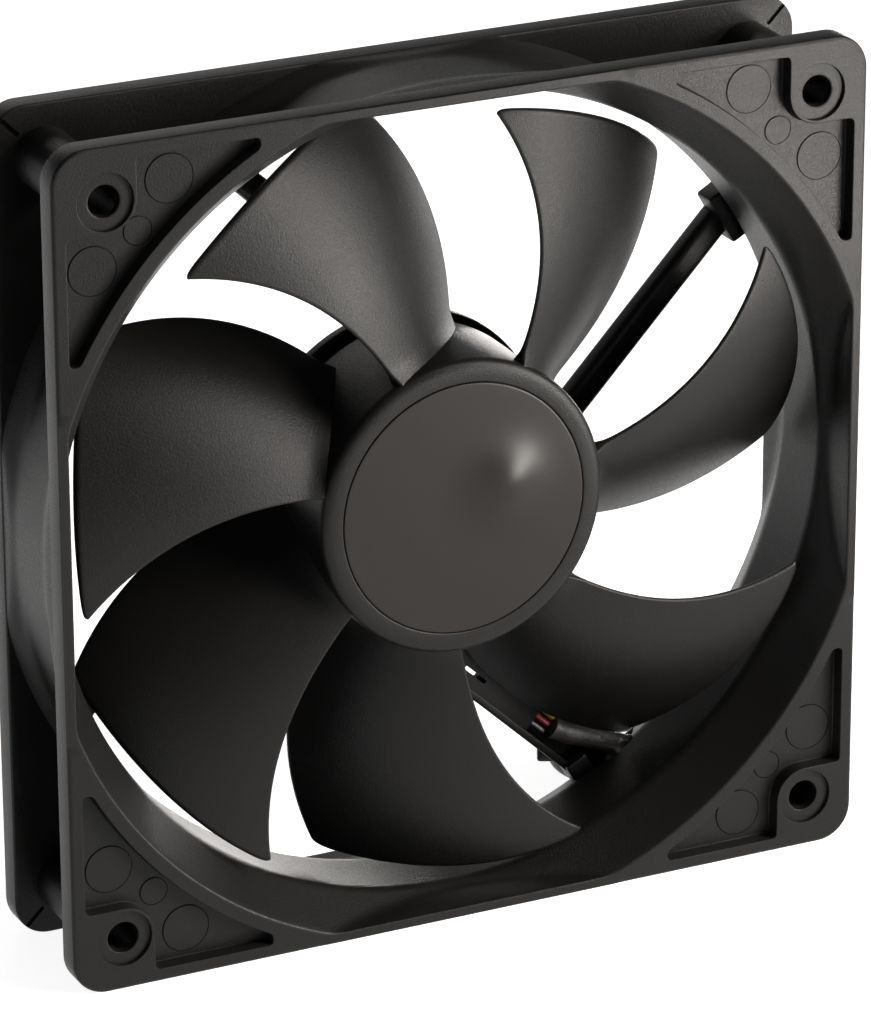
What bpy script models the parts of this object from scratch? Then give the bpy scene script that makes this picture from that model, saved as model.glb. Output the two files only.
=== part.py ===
"""A 120 mm case fan in metres, +Z up: the rotor turns about Y and the labelled side faces -Y.

The frame is one moulding with flanges, duct, screw columns, struts and motor base. The motor stands
on the base, the impeller hangs on its shaft, and a sleeved lead ends in a tied hank behind the fan.
"""
import math

import bmesh
import bpy
import numpy as np
from mathutils import Matrix, Vector

MM = 0.001

# Frame moulding
FRAME_SIDE = 120.0 * MM
FRAME_DEPTH = 25.0 * MM
CORNER_RADIUS = 5.0 * MM
FLANGE_DEPTH = 4.0 * MM
HOLE_PITCH = 105.0 * MM
HOLE_RADIUS = 2.2 * MM
COLUMN_WALL = 2.1 * MM

# Duct: a bell at the front, a straight throat and a flare at the rear
THROAT_RADIUS = 57.7 * MM
BELL_WIDENING = 4.6 * MM
BELL_DEPTH = 7.2 * MM
FLARE_WIDENING = 3.8 * MM
FLARE_DEPTH = 7.0 * MM
DUCT_WALL = 2.0 * MM
EDGE_RIM = 1.5 * MM

# Corner pockets in the front flange
POCKET_DEPTH = 2.1 * MM
POCKET_RIM = 1.9 * MM
POCKET_TIP = 1.2 * MM
BOSS_WALL = 1.9 * MM

# Struts and motor base at the rear
BASE_RADIUS = 22.0 * MM
BASE_THICKNESS = 2.0 * MM
BASE_INSET = 0.1 * MM
STRUT_COUNT = 4
STRUT_ANGLE = 46.8
STRUT_OFFSET = 16.6 * MM
STRUT_WIDTH = 4.0 * MM
STRUT_DEPTH = 3.5 * MM
STRUT_INSET = 0.3 * MM
STRUT_EDGE = 1.0 * MM
STRUT_SINK = 0.7 * MM
STRUT_FOOT = 9.0 * MM
LUG_WIDTH = 8.0 * MM
LUG_REACH = 1.4 * MM
LUG_RISE = 1.0 * MM
LUG_SINK = 2.5 * MM
WIRE_STRUT = 3
WIRE_STRUT_WIDTH = 7.6 * MM
WIRE_STRUT_FOOT = 12.8 * MM
WIRE_GROOVE_WIDTH = 5.2 * MM
WIRE_GROOVE_FLOOR = 1.0 * MM
HALF_LUG_WIDTH = 3.5 * MM
WINDOW_WIDTH = 4.4 * MM
WINDOW_REACH = 7.8 * MM
WINDOW_PAST_BOOT = 8.0 * MM

# Motor, from the base forwards
COLLAR_WALL = 1.3 * MM
COLLAR_HEIGHT = 2.6 * MM
LEDGE_RADIUS = 2.5 * MM
LEDGE_THICKNESS = 0.6 * MM
REAR_LABEL_RADIUS = 8.7 * MM
LABEL_THICKNESS = 0.3 * MM
LABEL_RECESS = 0.09 * MM
TUBE_WALL = 0.7 * MM
BEARING_RADIUS = 3.0 * MM
CAP_THICKNESS = 0.4 * MM
CAP_GAP = 0.3 * MM
BOARD_RADIUS = 15.2 * MM
BOARD_THICKNESS = 1.0 * MM
BOARD_STANDOFF = 1.5 * MM
POST_RADIUS = 1.0 * MM
POST_PITCH_RADIUS = 12.5 * MM
POST_COUNT = 3
POST_FIRST_ANGLE = 20.0
CHIP_SIZE = (4.2 * MM, 1.1 * MM, 3.2 * MM)
CHIP_RADIUS = 11.5 * MM
CHIP_ANGLE = 90.0
CAPACITOR_SIZE = (3.2 * MM, 1.0 * MM, 2.0 * MM)
CAPACITOR_RADIUS = 10.0 * MM
CAPACITOR_ANGLE = 180.0
DIODE_SIZE = (2.6 * MM, 0.9 * MM, 1.6 * MM)
DIODE_RADIUS = 10.5 * MM
DIODE_ANGLE = 0.0
WINDING_SPACE = 1.8 * MM
POLE_COUNT = 4
POLE_FIRST_ANGLE = 45.0
CORE_DEPTH = 5.0 * MM
CORE_RING_WALL = 2.1 * MM
ARM_WIDTH = 3.2 * MM
SHOE_THICKNESS = 1.9 * MM
SHOE_HALF_ANGLE = 36.0
AIR_GAP = 0.6 * MM
INSULATOR_THICKNESS = 0.8 * MM
COIL_BUILD = 1.0 * MM
COIL_SIDE = 2.2 * MM
COIL_END_GAP = 0.6 * MM

# Rotor
HUB_RADIUS = 21.2 * MM
HUB_RECESS = 2.5 * MM
HUB_FACE = 0.9 * MM
HUB_EDGE = 1.2 * MM
HUB_WALL = 1.3 * MM
SKIRT_GAP = 2.1 * MM
LABEL_RADIUS = 18.0 * MM
YOKE_WALL = 1.0 * MM
YOKE_INSET = 1.0 * MM
MAGNET_THICKNESS = 2.3 * MM
MAGNET_INSET = 0.4 * MM
MAGNET_FRONT_GAP = 1.7 * MM
SHAFT_RADIUS = 1.5 * MM
BUSH_WALL = 1.6 * MM
BUSH_LENGTH = 3.7 * MM
WASHER_THICKNESS = 0.3 * MM
CLIP_THICKNESS = 0.4 * MM
CLIP_WALL = 1.2 * MM
CLIP_GRIP = 0.5 * MM
SHAFT_TAIL = 0.3 * MM

# Blades: sickle blades whose leading edges lie near the front
BLADE_COUNT = 7
TIP_GAP = 1.7 * MM
TIP_ROUNDING = 1.4 * MM
TIP_SQUARENESS = 10
LEAD_ROOT_ANGLE = 116.5
LEAD_SWEEP = 9.0
LEAD_CURL = 10.7
TRAIL_ROOT_ANGLE = 75.6
TRAIL_SWEEP = 17.6
TRAIL_CURL = 6.2
LEAD_DEPTH = 4.1 * MM
LEAD_HOLLOW = 3.4 * MM
TRAIL_STRUT_GAP = 2.6 * MM
TRAIL_FULLNESS = 4.6 * MM
ROOT_CAMBER = 2.2 * MM
TIP_CAMBER = 3.5 * MM
BLADE_THICKNESS = 1.5 * MM
BLADE_EDGE_THICKNESS = 0.7 * MM
BLADE_CHORD_STEPS = 8
BLADE_SPAN_STEPS = 8

# Leads and cable
LEAD_DIAMETER = 0.9 * MM
BOOT_DIAMETER = 3.4 * MM
BOOT_END_DIAMETER = 2.9 * MM
CABLE_DIAMETER = 2.4 * MM
CABLE_SPACING = 5.0 * MM
HANK_ASIDE = 51.5 * MM
HANK_BEHIND = 12.2 * MM
HANK_FOLD_RADIUS = 7.4 * MM
HANK_FOLD_SPAN = 19.0 * MM
HANK_WAIST = 5.0 * MM
HANK_STEP = 3.7 * MM
HANK_LAYER = 3.0 * MM
HANK_FLOOR_GAP = 0.05 * MM
HANK_POINTS_PER_LOOP = 24
HANK_START = 0.10
HANK_END = 2.613
HANK_TURNS = [0.0, 1.0, 1.5, 2.3, 2.5]
HANK_OUTS = [1.0, 0.0, 0.0, 0.8, 0.3]
HANK_LAYERS = [0.0, 0.0, 1.0, 1.0, 2.0]
TIE_WIDTH = 2.6 * MM
TIE_THICKNESS = 0.6 * MM
PLUG_WIDTH = 7.6 * MM
PLUG_HEIGHT = 5.8 * MM
PLUG_LENGTH = 11.0 * MM
PLUG_FLOOR = 2.0 * MM
CONTACT_PITCH = 2.3 * MM
CONTACT_SIZE = 1.0 * MM

# Clearances
FIT = 0.3 * MM
OVERRUN = 2.0 * MM
WELD = 0.001 * MM

# Facet counts and shading
DUCT_SIDES = 96
HUB_SIDES = 64
MOTOR_SIDES = 32
HOLE_SIDES = 24
CORNER_STEPS = 5
POCKET_STEPS = 12
EDGE_STEPS = 3
ROUTE_STEPS = 40
GAP_SAMPLES = (0.0, 0.25, 0.5, 0.75)
SMOOTH_ANGLE = math.radians(30)

# Places and depths from the front face that several pieces share
REST_PLANE = -FRAME_SIDE / 2
HANK_CENTRE = (HANK_ASIDE, FRAME_DEPTH / 2 + HANK_BEHIND)
BASE_REAR = FRAME_DEPTH - BASE_INSET
BASE_FRONT = BASE_REAR - BASE_THICKNESS
STRUT_REAR = FRAME_DEPTH - STRUT_INSET
STRUT_FRONT = STRUT_REAR - STRUT_DEPTH
LABEL_SEAT = BASE_REAR - LABEL_RECESS - LABEL_THICKNESS - FIT
TUBE_SEAT = LABEL_SEAT - LEDGE_THICKNESS
TUBE_REAR = TUBE_SEAT - FIT
BOARD_REAR = BASE_FRONT - BOARD_STANDOFF
BOARD_FRONT = BOARD_REAR - BOARD_THICKNESS
HUB_INNER = HUB_RECESS + LABEL_THICKNESS + FIT + HUB_FACE
SKIRT_END = BASE_FRONT - SKIRT_GAP
YOKE_FRONT = HUB_INNER + FIT
YOKE_END = SKIRT_END - YOKE_INSET
BUSH_END = YOKE_FRONT + BUSH_LENGTH
WASHER_FRONT = BUSH_END + FIT
BEARING_FRONT = WASHER_FRONT + WASHER_THICKNESS + FIT
CAP_REAR = TUBE_SEAT - FIT
CAP_FRONT = CAP_REAR - CAP_THICKNESS
SHAFT_END = CAP_FRONT - CAP_GAP
GROOVE_REAR = SHAFT_END - SHAFT_TAIL
CLIP_REAR = GROOVE_REAR - FIT
CLIP_FRONT = CLIP_REAR - CLIP_THICKNESS
GROOVE_FRONT = CLIP_FRONT - FIT
BEARING_REAR = GROOVE_FRONT - FIT

# Radii that fits share
TUBE_BORE = BEARING_RADIUS + FIT
TUBE_RADIUS = TUBE_BORE + TUBE_WALL
COLLAR_BORE = TUBE_RADIUS + FIT
COLLAR_RADIUS = COLLAR_BORE + COLLAR_WALL
SHAFT_BORE = SHAFT_RADIUS + FIT
BUSH_RADIUS = SHAFT_BORE + BUSH_WALL
SKIRT_BORE = HUB_RADIUS - HUB_WALL
YOKE_RADIUS = SKIRT_BORE - FIT
MAGNET_RADIUS = YOKE_RADIUS - YOKE_WALL - FIT
MAGNET_BORE = MAGNET_RADIUS - MAGNET_THICKNESS
CORE_RADIUS = MAGNET_BORE - AIR_GAP
CORE_RING_RADIUS = COLLAR_BORE + CORE_RING_WALL
TIP_RADIUS = THROAT_RADIUS - TIP_GAP

# Route of the leads, heat-shrink boot and cable in mm: x, distance ahead of the rear face, and z
LEAD_ROUTE = [(-7.2, 2.85, -11.2), (-6.5, 2.85, -13.2), (-4.9, 2.85, -16.6), (-2.4, 2.85, -20.2),
              (2.0, 2.5, -24.7), (9.0, 2.4, -31.3), (16.0, 2.4, -37.8), (20.4, 2.7, -42.0),
              (22.6, 3.0, -44.1)]
LEAD_SPREAD = [1.5, 1.5, 1.5, 1.5, 1.5, 1.5, 1.5, 1.3, 1.2]
BOOT_ROUTE = [(22.9, 3.0, -44.35), (25.3, 3.0, -45.7), (28.6, 3.4, -46.9), (32.2, 4.1, -48.2)]
CABLE_ROUTE = [(39.5, 6.4, -49.6), (45.0, 7.8, -47.8), (51.0, 8.3, -46.1), (57.0, 8.2, -46.0),
               (62.2, 6.8, -47.6), (65.4, 3.8, -51.6), (66.6, -0.2, -56.2), (67.8, -4.0, -58.4)]


def depth_y(depth):
    """The y of a depth measured back from the front face."""
    return depth - FRAME_DEPTH / 2


def on_circle(radius, degrees):
    """The (x, z) of a point on a circle round the fan's axis."""
    return radius * math.cos(math.radians(degrees)), radius * math.sin(math.radians(degrees))


def arc(centre, radius, first, last, steps):
    """Points of an arc in the xz plane, both ends included, angles in degrees."""
    points = [on_circle(radius, first + (last - first) * step / steps) for step in range(steps + 1)]
    return [(centre[0] + x, centre[1] + z) for x, z in points]


def material(name, colour, roughness, metallic=0.0):
    """A plain Principled material."""
    made = bpy.data.materials.new(name)
    made.use_nodes = True
    shader = made.node_tree.nodes["Principled BSDF"]
    shader.inputs["Base Color"].default_value = (*colour, 1.0)
    shader.inputs["Roughness"].default_value = roughness
    shader.inputs["Metallic"].default_value = metallic
    made.diffuse_color = (*colour, 1.0)
    return made


def make_object(name, shape, finish=None, parent=None):
    """Store a bmesh as a named object with its faces outwards and its round faces smooth."""
    bmesh.ops.recalc_face_normals(shape, faces=shape.faces)
    mesh = bpy.data.meshes.new(name)
    shape.to_mesh(mesh)
    shape.free()
    mesh.shade_smooth()
    mesh.set_sharp_from_angle(angle=SMOOTH_ANGLE)
    if finish:
        mesh.materials.append(finish)
    item = bpy.data.objects.new(name, mesh)
    item.parent = parent
    bpy.context.collection.objects.link(item)
    return item


def merged(shapes):
    """Several separate shapes in one bmesh."""
    whole = bmesh.new()
    for shape in shapes:
        mesh = bpy.data.meshes.new("merged")
        bmesh.ops.recalc_face_normals(shape, faces=shape.faces)
        shape.to_mesh(mesh)
        shape.free()
        whole.from_mesh(mesh)
        bpy.data.meshes.remove(mesh)
    return whole


def combine(target, operation, name, shape):
    """Cut or join a target with a helper solid, which stays as a hidden wire object."""
    helper = make_object(name, shape)
    helper.hide_render = True
    helper.display_type = "WIRE"
    change = target.modifiers.new(name, "BOOLEAN")
    change.operation = operation
    change.solver = "EXACT"
    change.object = helper
    return helper


def turned(outline, sides):
    """Turn a closed outline of (radius, depth) points round the fan's axis."""
    shape = bmesh.new()
    points = [shape.verts.new((radius, depth_y(depth), 0.0)) for radius, depth in outline]
    for first, second in zip(points, points[1:] + points[:1]):
        if first.co.x > 0 or second.co.x > 0:
            shape.edges.new((first, second))
    bmesh.ops.spin(shape, geom=shape.verts[:] + shape.edges[:], cent=(0, 0, 0), axis=(0, 1, 0),
                   angle=math.tau, steps=sides, use_merge=True)
    bmesh.ops.remove_doubles(shape, verts=shape.verts, dist=WELD)
    return shape


def ring(inner, outer, front, rear, sides):
    """A plain turned ring."""
    return turned([(inner, front), (outer, front), (outer, rear), (inner, rear)], sides)


def prism(outline, front, rear):
    """An outline of (x, z) points carried from one depth to another."""
    shape = bmesh.new()
    face = shape.faces.new([shape.verts.new((x, depth_y(front), z)) for x, z in outline])
    grown = bmesh.ops.extrude_face_region(shape, geom=[face])["geom"]
    moved = [item for item in grown if isinstance(item, bmesh.types.BMVert)]
    bmesh.ops.translate(shape, vec=(0, rear - front, 0), verts=moved)
    return shape


def box(size, centre, degrees=0.0):
    """A box of x, y and z sizes at a centre, then turned about the fan's axis from +X towards +Z."""
    shape = bmesh.new()
    place = Matrix.Translation(centre) @ Matrix.Diagonal((*size, 1.0))
    bmesh.ops.create_cube(shape, size=1.0, matrix=place)
    bmesh.ops.rotate(shape, verts=shape.verts, cent=(0, 0, 0),
                     matrix=Matrix.Rotation(-math.radians(degrees), 3, "Y"))
    return shape


def box_between(low, high, degrees=0.0):
    """A box between two corners given as (x, depth, z), then turned about the fan's axis."""
    low = Vector((low[0], depth_y(low[1]), low[2]))
    high = Vector((high[0], depth_y(high[1]), high[2]))
    return box(high - low, (low + high) / 2, degrees)


def round_bar(radius, centre, front, rear, sides):
    """A round bar along the fan's axis direction, at an (x, z) centre."""
    return prism(arc(centre, radius, 0, 360 - 360 / sides, sides - 1), front, rear)


def frame_outline():
    """The square outline with round corners."""
    reach = FRAME_SIDE / 2 - CORNER_RADIUS
    corners = [(reach, reach), (-reach, reach), (-reach, -reach), (reach, -reach)]
    points = []
    for turn, corner in enumerate(corners):
        points += arc(corner, CORNER_RADIUS, 90 * turn, 90 * turn + 90, CORNER_STEPS)
    return points


def duct_outline(wall):
    """Radius and depth of the duct's surface, moved out by a wall and run past both faces."""
    bell = BELL_WIDENING / BELL_DEPTH
    flare = FLARE_WIDENING / FLARE_DEPTH
    radius = THROAT_RADIUS + wall
    return [(radius + BELL_WIDENING + bell * OVERRUN, -OVERRUN),
            (radius, BELL_DEPTH),
            (radius, FRAME_DEPTH - FLARE_DEPTH),
            (radius + FLARE_WIDENING + flare * OVERRUN, FRAME_DEPTH + OVERRUN)]


def duct_solid(wall):
    """The space inside the duct's surface, as a turned solid."""
    return turned([(0.0, -OVERRUN)] + duct_outline(wall) + [(0.0, FRAME_DEPTH + OVERRUN)], DUCT_SIDES)


def flare_radius(depth):
    """The duct's inner radius at a depth in the rear flare."""
    return THROAT_RADIUS + FLARE_WIDENING * (depth - FRAME_DEPTH + FLARE_DEPTH) / FLARE_DEPTH


def hole_centres():
    """The four screw holes' (x, z) centres."""
    half = HOLE_PITCH / 2
    return [(half, half), (-half, half), (-half, -half), (half, -half)]


def pocket_outline():
    """One corner pocket: two wings round the screw boss, from the duct's lip to the rim."""
    reach = FRAME_SIDE / 2 - POCKET_RIM
    lip = THROAT_RADIUS + BELL_WIDENING + DUCT_WALL
    boss = HOLE_RADIUS + BOSS_WALL
    half = HOLE_PITCH / 2
    web = math.degrees(math.asin(POCKET_TIP / lip))
    start = max(web, math.degrees(math.acos(min(reach / lip, 1.0))))
    inner = arc((0.0, 0.0), lip, 90 - start, start, POCKET_STEPS)
    corner = arc((half, half), boss, 270, 180, CORNER_STEPS)
    outline = inner + [(reach, half - boss)] + corner + [(half - boss, reach)]
    if reach - inner[-1][0] > WELD:
        outline.insert(POCKET_STEPS + 1, (reach, inner[-1][1]))
        outline.append((inner[0][0], reach))
    return outline


def pocket(turn):
    """The pocket's cutter in one corner, with its two sharp wing tips rounded."""
    shape = prism(pocket_outline(), -OVERRUN, POCKET_DEPTH)
    upright = [edge for edge in shape.edges if abs(edge.verts[0].co.y - edge.verts[1].co.y) > OVERRUN]
    first, last = Vector(pocket_outline()[0]), Vector(pocket_outline()[POCKET_STEPS])
    tips = [edge for edge in upright
            if min((Vector((edge.verts[0].co.x, edge.verts[0].co.z)) - tip).length
                   for tip in (first, last)) < WELD]
    bmesh.ops.bevel(shape, geom=tips, offset=POCKET_TIP, segments=EDGE_STEPS, profile=0.5,
                    affect="EDGES")
    bmesh.ops.rotate(shape, verts=shape.verts, cent=(0, 0, 0),
                     matrix=Matrix.Rotation(-math.radians(90 * turn), 3, "Y"))
    return shape


def strut_reach(radius):
    """How far along a strut, from the point nearest the axis, its centre line meets a radius."""
    return math.sqrt(radius ** 2 - STRUT_OFFSET ** 2)


def strut(turn):
    """One strut: a bar with rounded edges, set off to one side of the axis."""
    width, foot = STRUT_WIDTH, STRUT_FOOT
    if turn == WIRE_STRUT:
        width, foot = WIRE_STRUT_WIDTH, WIRE_STRUT_FOOT
    end = strut_reach(flare_radius(STRUT_REAR) + STRUT_SINK)
    shape = box_between((foot, STRUT_FRONT, -STRUT_OFFSET - width / 2),
                        (end, STRUT_REAR, -STRUT_OFFSET + width / 2))
    along = [edge for edge in shape.edges
             if abs(edge.verts[0].co.x - edge.verts[1].co.x) > end - foot - WELD]
    bmesh.ops.bevel(shape, geom=along, offset=STRUT_EDGE, segments=2, profile=0.5, affect="EDGES")
    bmesh.ops.rotate(shape, verts=shape.verts, cent=(0, 0, 0),
                     matrix=Matrix.Rotation(-math.radians(strut_angle(turn)), 3, "Y"))
    return shape


def strut_angle(turn):
    """The direction of one strut, in degrees from +X towards +Z."""
    return STRUT_ANGLE + 360 / STRUT_COUNT * turn


def lug(turn):
    """The block where a strut runs into the duct wall; the wire strut has only its lower half."""
    middle = math.degrees(math.atan2(-STRUT_OFFSET, strut_reach(THROAT_RADIUS)))
    low, high = -LUG_WIDTH / 2, LUG_WIDTH / 2
    if turn == WIRE_STRUT:
        high = low + HALF_LUG_WIDTH
    return box_between((THROAT_RADIUS - LUG_REACH, STRUT_FRONT - LUG_RISE, low),
                       (THROAT_RADIUS + LUG_SINK, STRUT_REAR - FIT, high),
                       strut_angle(turn) + middle)


def build_frame(plastic):
    """The frame moulding, cut from its outline and joined to the struts and the motor base."""
    frame = make_object("frame", prism(frame_outline(), 0.0, FRAME_DEPTH), plastic)
    wide = FRAME_SIDE / 2 + OVERRUN
    space = combine(frame, "DIFFERENCE", "space_between_flanges",
                    box_between((-wide, FLANGE_DEPTH, -wide), (wide, FRAME_DEPTH - FLANGE_DEPTH, wide)))
    combine(space, "DIFFERENCE", "duct_outside", duct_solid(DUCT_WALL))
    combine(space, "DIFFERENCE", "screw_columns",
            merged([round_bar(HOLE_RADIUS + COLUMN_WALL, centre, -OVERRUN, FRAME_DEPTH + OVERRUN, HOLE_SIDES)
                    for centre in hole_centres()]))
    inside = FRAME_SIDE / 2 - EDGE_RIM
    bore = combine(frame, "DIFFERENCE", "duct_bore", duct_solid(0.0))
    combine(bore, "INTERSECT", "edge_rims",
            box_between((-inside, -2 * OVERRUN, -inside), (inside, FRAME_DEPTH + 2 * OVERRUN, inside)))
    combine(frame, "DIFFERENCE", "screw_holes",
            merged([round_bar(HOLE_RADIUS, centre, -OVERRUN, FRAME_DEPTH + OVERRUN, HOLE_SIDES)
                    for centre in hole_centres()]))
    combine(frame, "DIFFERENCE", "corner_pockets", merged([pocket(turn) for turn in range(4)]))
    base = combine(frame, "UNION", "motor_base", motor_base())
    for turn in range(STRUT_COUNT):
        combine(base, "UNION", f"strut_{turn + 1}", strut(turn))
    combine(base, "UNION", "board_posts", merged(board_posts()))
    groove_rear = STRUT_REAR - WIRE_GROOVE_FLOOR
    combine(base, "DIFFERENCE", "wire_groove",
            box_between((0.0, STRUT_FRONT - OVERRUN, -STRUT_OFFSET - WIRE_GROOVE_WIDTH / 2),
                        (strut_reach(THROAT_RADIUS), groove_rear, -STRUT_OFFSET + WIRE_GROOVE_WIDTH / 2),
                        strut_angle(WIRE_STRUT)))
    for turn in range(STRUT_COUNT):
        combine(base, "UNION", f"lug_{turn + 1}", lug(turn))
    combine(frame, "DIFFERENCE", "cable_window", cable_window(groove_rear))
    return frame


def motor_base():
    """The turned motor base, with the collar that holds the bearing tube and the label's seat."""
    return turned([(COLLAR_BORE, BASE_FRONT - COLLAR_HEIGHT), (COLLAR_RADIUS, BASE_FRONT - COLLAR_HEIGHT),
                   (COLLAR_RADIUS, BASE_FRONT), (BASE_RADIUS, BASE_FRONT), (BASE_RADIUS, BASE_REAR),
                   (REAR_LABEL_RADIUS + FIT, BASE_REAR), (REAR_LABEL_RADIUS + FIT, LABEL_SEAT),
                   (LEDGE_RADIUS, LABEL_SEAT), (LEDGE_RADIUS, TUBE_SEAT), (COLLAR_BORE, TUBE_SEAT)],
                  HUB_SIDES)


def board_posts():
    """Short posts on the base that carry the circuit board."""
    angles = [POST_FIRST_ANGLE + 360 / POST_COUNT * turn for turn in range(POST_COUNT)]
    return [round_bar(POST_RADIUS, on_circle(POST_PITCH_RADIUS, angle), BOARD_REAR + FIT,
                      BASE_FRONT + BASE_THICKNESS / 2, HOLE_SIDES // 2) for angle in angles]


def cable_window(floor):
    """The way through the groove's side and the duct wall along the boot and the cable's start."""
    start, end = BOOT_ROUTE[0], BOOT_ROUTE[-1]
    run = Vector((end[0] - start[0], end[2] - start[2])) * MM
    degrees = math.degrees(math.atan2(run.y, run.x))
    turn = Matrix.Rotation(-math.radians(degrees), 2)
    local = turn @ Vector((start[0], start[2])) * MM
    return box_between((local.x - FIT, FRAME_DEPTH - WINDOW_REACH, local.y - WINDOW_WIDTH / 2),
                       (local.x + run.length + WINDOW_PAST_BOOT, floor, local.y + WINDOW_WIDTH / 2),
                       degrees)


def star_outline(ring_radius, shoe_radius, shoe_inner, half_angle):
    """A four-armed outline: a middle ring, straight arms and a curved shoe on each arm's end."""
    points = []
    ring_turn = math.degrees(math.asin(ARM_WIDTH / 2 / ring_radius))
    shoe_turn = math.degrees(math.asin(ARM_WIDTH / 2 / shoe_inner))
    pitch = 360 / POLE_COUNT
    for pole in range(POLE_COUNT):
        middle = POLE_FIRST_ANGLE + pitch * pole
        points += arc((0.0, 0.0), shoe_inner, middle - shoe_turn, middle - half_angle, EDGE_STEPS)
        points += arc((0.0, 0.0), shoe_radius, middle - half_angle, middle + half_angle, 2 * EDGE_STEPS)
        points += arc((0.0, 0.0), shoe_inner, middle + half_angle, middle + shoe_turn, EDGE_STEPS)
        points += arc((0.0, 0.0), ring_radius, middle + ring_turn, middle + pitch - ring_turn, EDGE_STEPS)
    return points


def star(name, front, rear, shoe_radius, finish):
    """A flat four-armed stator piece with a round hole over the bearing tube."""
    shoe_inner = CORE_RADIUS - SHOE_THICKNESS
    shape = prism(star_outline(CORE_RING_RADIUS, shoe_radius, shoe_inner, SHOE_HALF_ANGLE), front, rear)
    piece = make_object(name, shape, finish)
    combine(piece, "DIFFERENCE", name + "_hole",
            round_bar(COLLAR_BORE, (0.0, 0.0), front - OVERRUN, rear + OVERRUN, MOTOR_SIDES))
    return piece


def coil(turn, front, rear, finish):
    """One winding: a block with a hole for its arm and insulators."""
    inner = CORE_RING_RADIUS + COIL_END_GAP
    half = ARM_WIDTH / 2 + FIT
    outer = math.sqrt((CORE_RADIUS - SHOE_THICKNESS - COIL_END_GAP) ** 2 - (half + COIL_SIDE) ** 2)
    angle = POLE_FIRST_ANGLE + 360 / POLE_COUNT * turn
    block = box_between((inner, front, -half - COIL_SIDE), (outer, rear, half + COIL_SIDE), angle)
    piece = make_object(f"coil_{turn + 1}", block, finish)
    combine(piece, "DIFFERENCE", f"coil_hole_{turn + 1}",
            box_between((inner - OVERRUN, front + COIL_BUILD, -half),
                        (outer + OVERRUN, rear - COIL_BUILD, half), angle))
    return piece


def board_part(name, size, radius, angle, front, finish):
    """A small block on the circuit board, at a radius and an angle."""
    width, height, length = size
    return make_object(name, box_between((radius - width / 2, front, -length / 2),
                                         (radius + width / 2, front + height, length / 2), angle), finish)


def build_motor(finishes):
    """The fixed half of the motor: bearing, stator, windings and circuit board."""
    make_object("bearing_tube", ring(TUBE_BORE, TUBE_RADIUS, BEARING_FRONT, TUBE_REAR, MOTOR_SIDES),
                finishes["brass"])
    make_object("sleeve_bearing", ring(SHAFT_BORE, BEARING_RADIUS, BEARING_FRONT, BEARING_REAR, MOTOR_SIDES),
                finishes["bronze"])
    make_object("thrust_washer", ring(SHAFT_BORE, BEARING_RADIUS, WASHER_FRONT,
                                      WASHER_FRONT + WASHER_THICKNESS, MOTOR_SIDES), finishes["white"])
    make_object("bearing_cap", turned([(0.0, CAP_FRONT), (BEARING_RADIUS, CAP_FRONT),
                                       (BEARING_RADIUS, CAP_REAR), (0.0, CAP_REAR)], MOTOR_SIDES),
                finishes["white"])
    make_object("rear_label", turned([(0.0, LABEL_SEAT + FIT), (REAR_LABEL_RADIUS, LABEL_SEAT + FIT),
                                      (REAR_LABEL_RADIUS, LABEL_SEAT + FIT + LABEL_THICKNESS),
                                      (0.0, LABEL_SEAT + FIT + LABEL_THICKNESS)], MOTOR_SIDES),
                finishes["label"])
    coil_rear = BOARD_FRONT - WINDING_SPACE
    lower_rear = coil_rear - COIL_BUILD - FIT
    core_rear = lower_rear - INSULATOR_THICKNESS - FIT
    core_front = core_rear - CORE_DEPTH
    upper_front = core_front - FIT - INSULATOR_THICKNESS
    coil_front = upper_front - FIT - COIL_BUILD
    insulator_shoe = CORE_RADIUS - SHOE_THICKNESS / 3
    star("stator_core", core_front, core_rear, CORE_RADIUS, finishes["steel"])
    star("upper_insulator", upper_front, upper_front + INSULATOR_THICKNESS, insulator_shoe, finishes["white"])
    star("lower_insulator", core_rear + FIT, lower_rear, insulator_shoe, finishes["white"])
    for turn in range(POLE_COUNT):
        coil(turn, coil_front, coil_rear, finishes["copper"])
    make_object("circuit_board", ring(COLLAR_RADIUS + FIT, BOARD_RADIUS, BOARD_FRONT, BOARD_REAR, MOTOR_SIDES),
                finishes["board"])
    board_part("hall_driver", CHIP_SIZE, CHIP_RADIUS, CHIP_ANGLE, BOARD_FRONT - FIT - CHIP_SIZE[1],
               finishes["chip"])
    board_part("capacitor", CAPACITOR_SIZE, CAPACITOR_RADIUS, CAPACITOR_ANGLE,
               BOARD_FRONT - FIT - CAPACITOR_SIZE[1], finishes["bronze"])
    board_part("diode", DIODE_SIZE, DIODE_RADIUS, DIODE_ANGLE, BOARD_FRONT - FIT - DIODE_SIZE[1],
               finishes["chip"])


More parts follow.
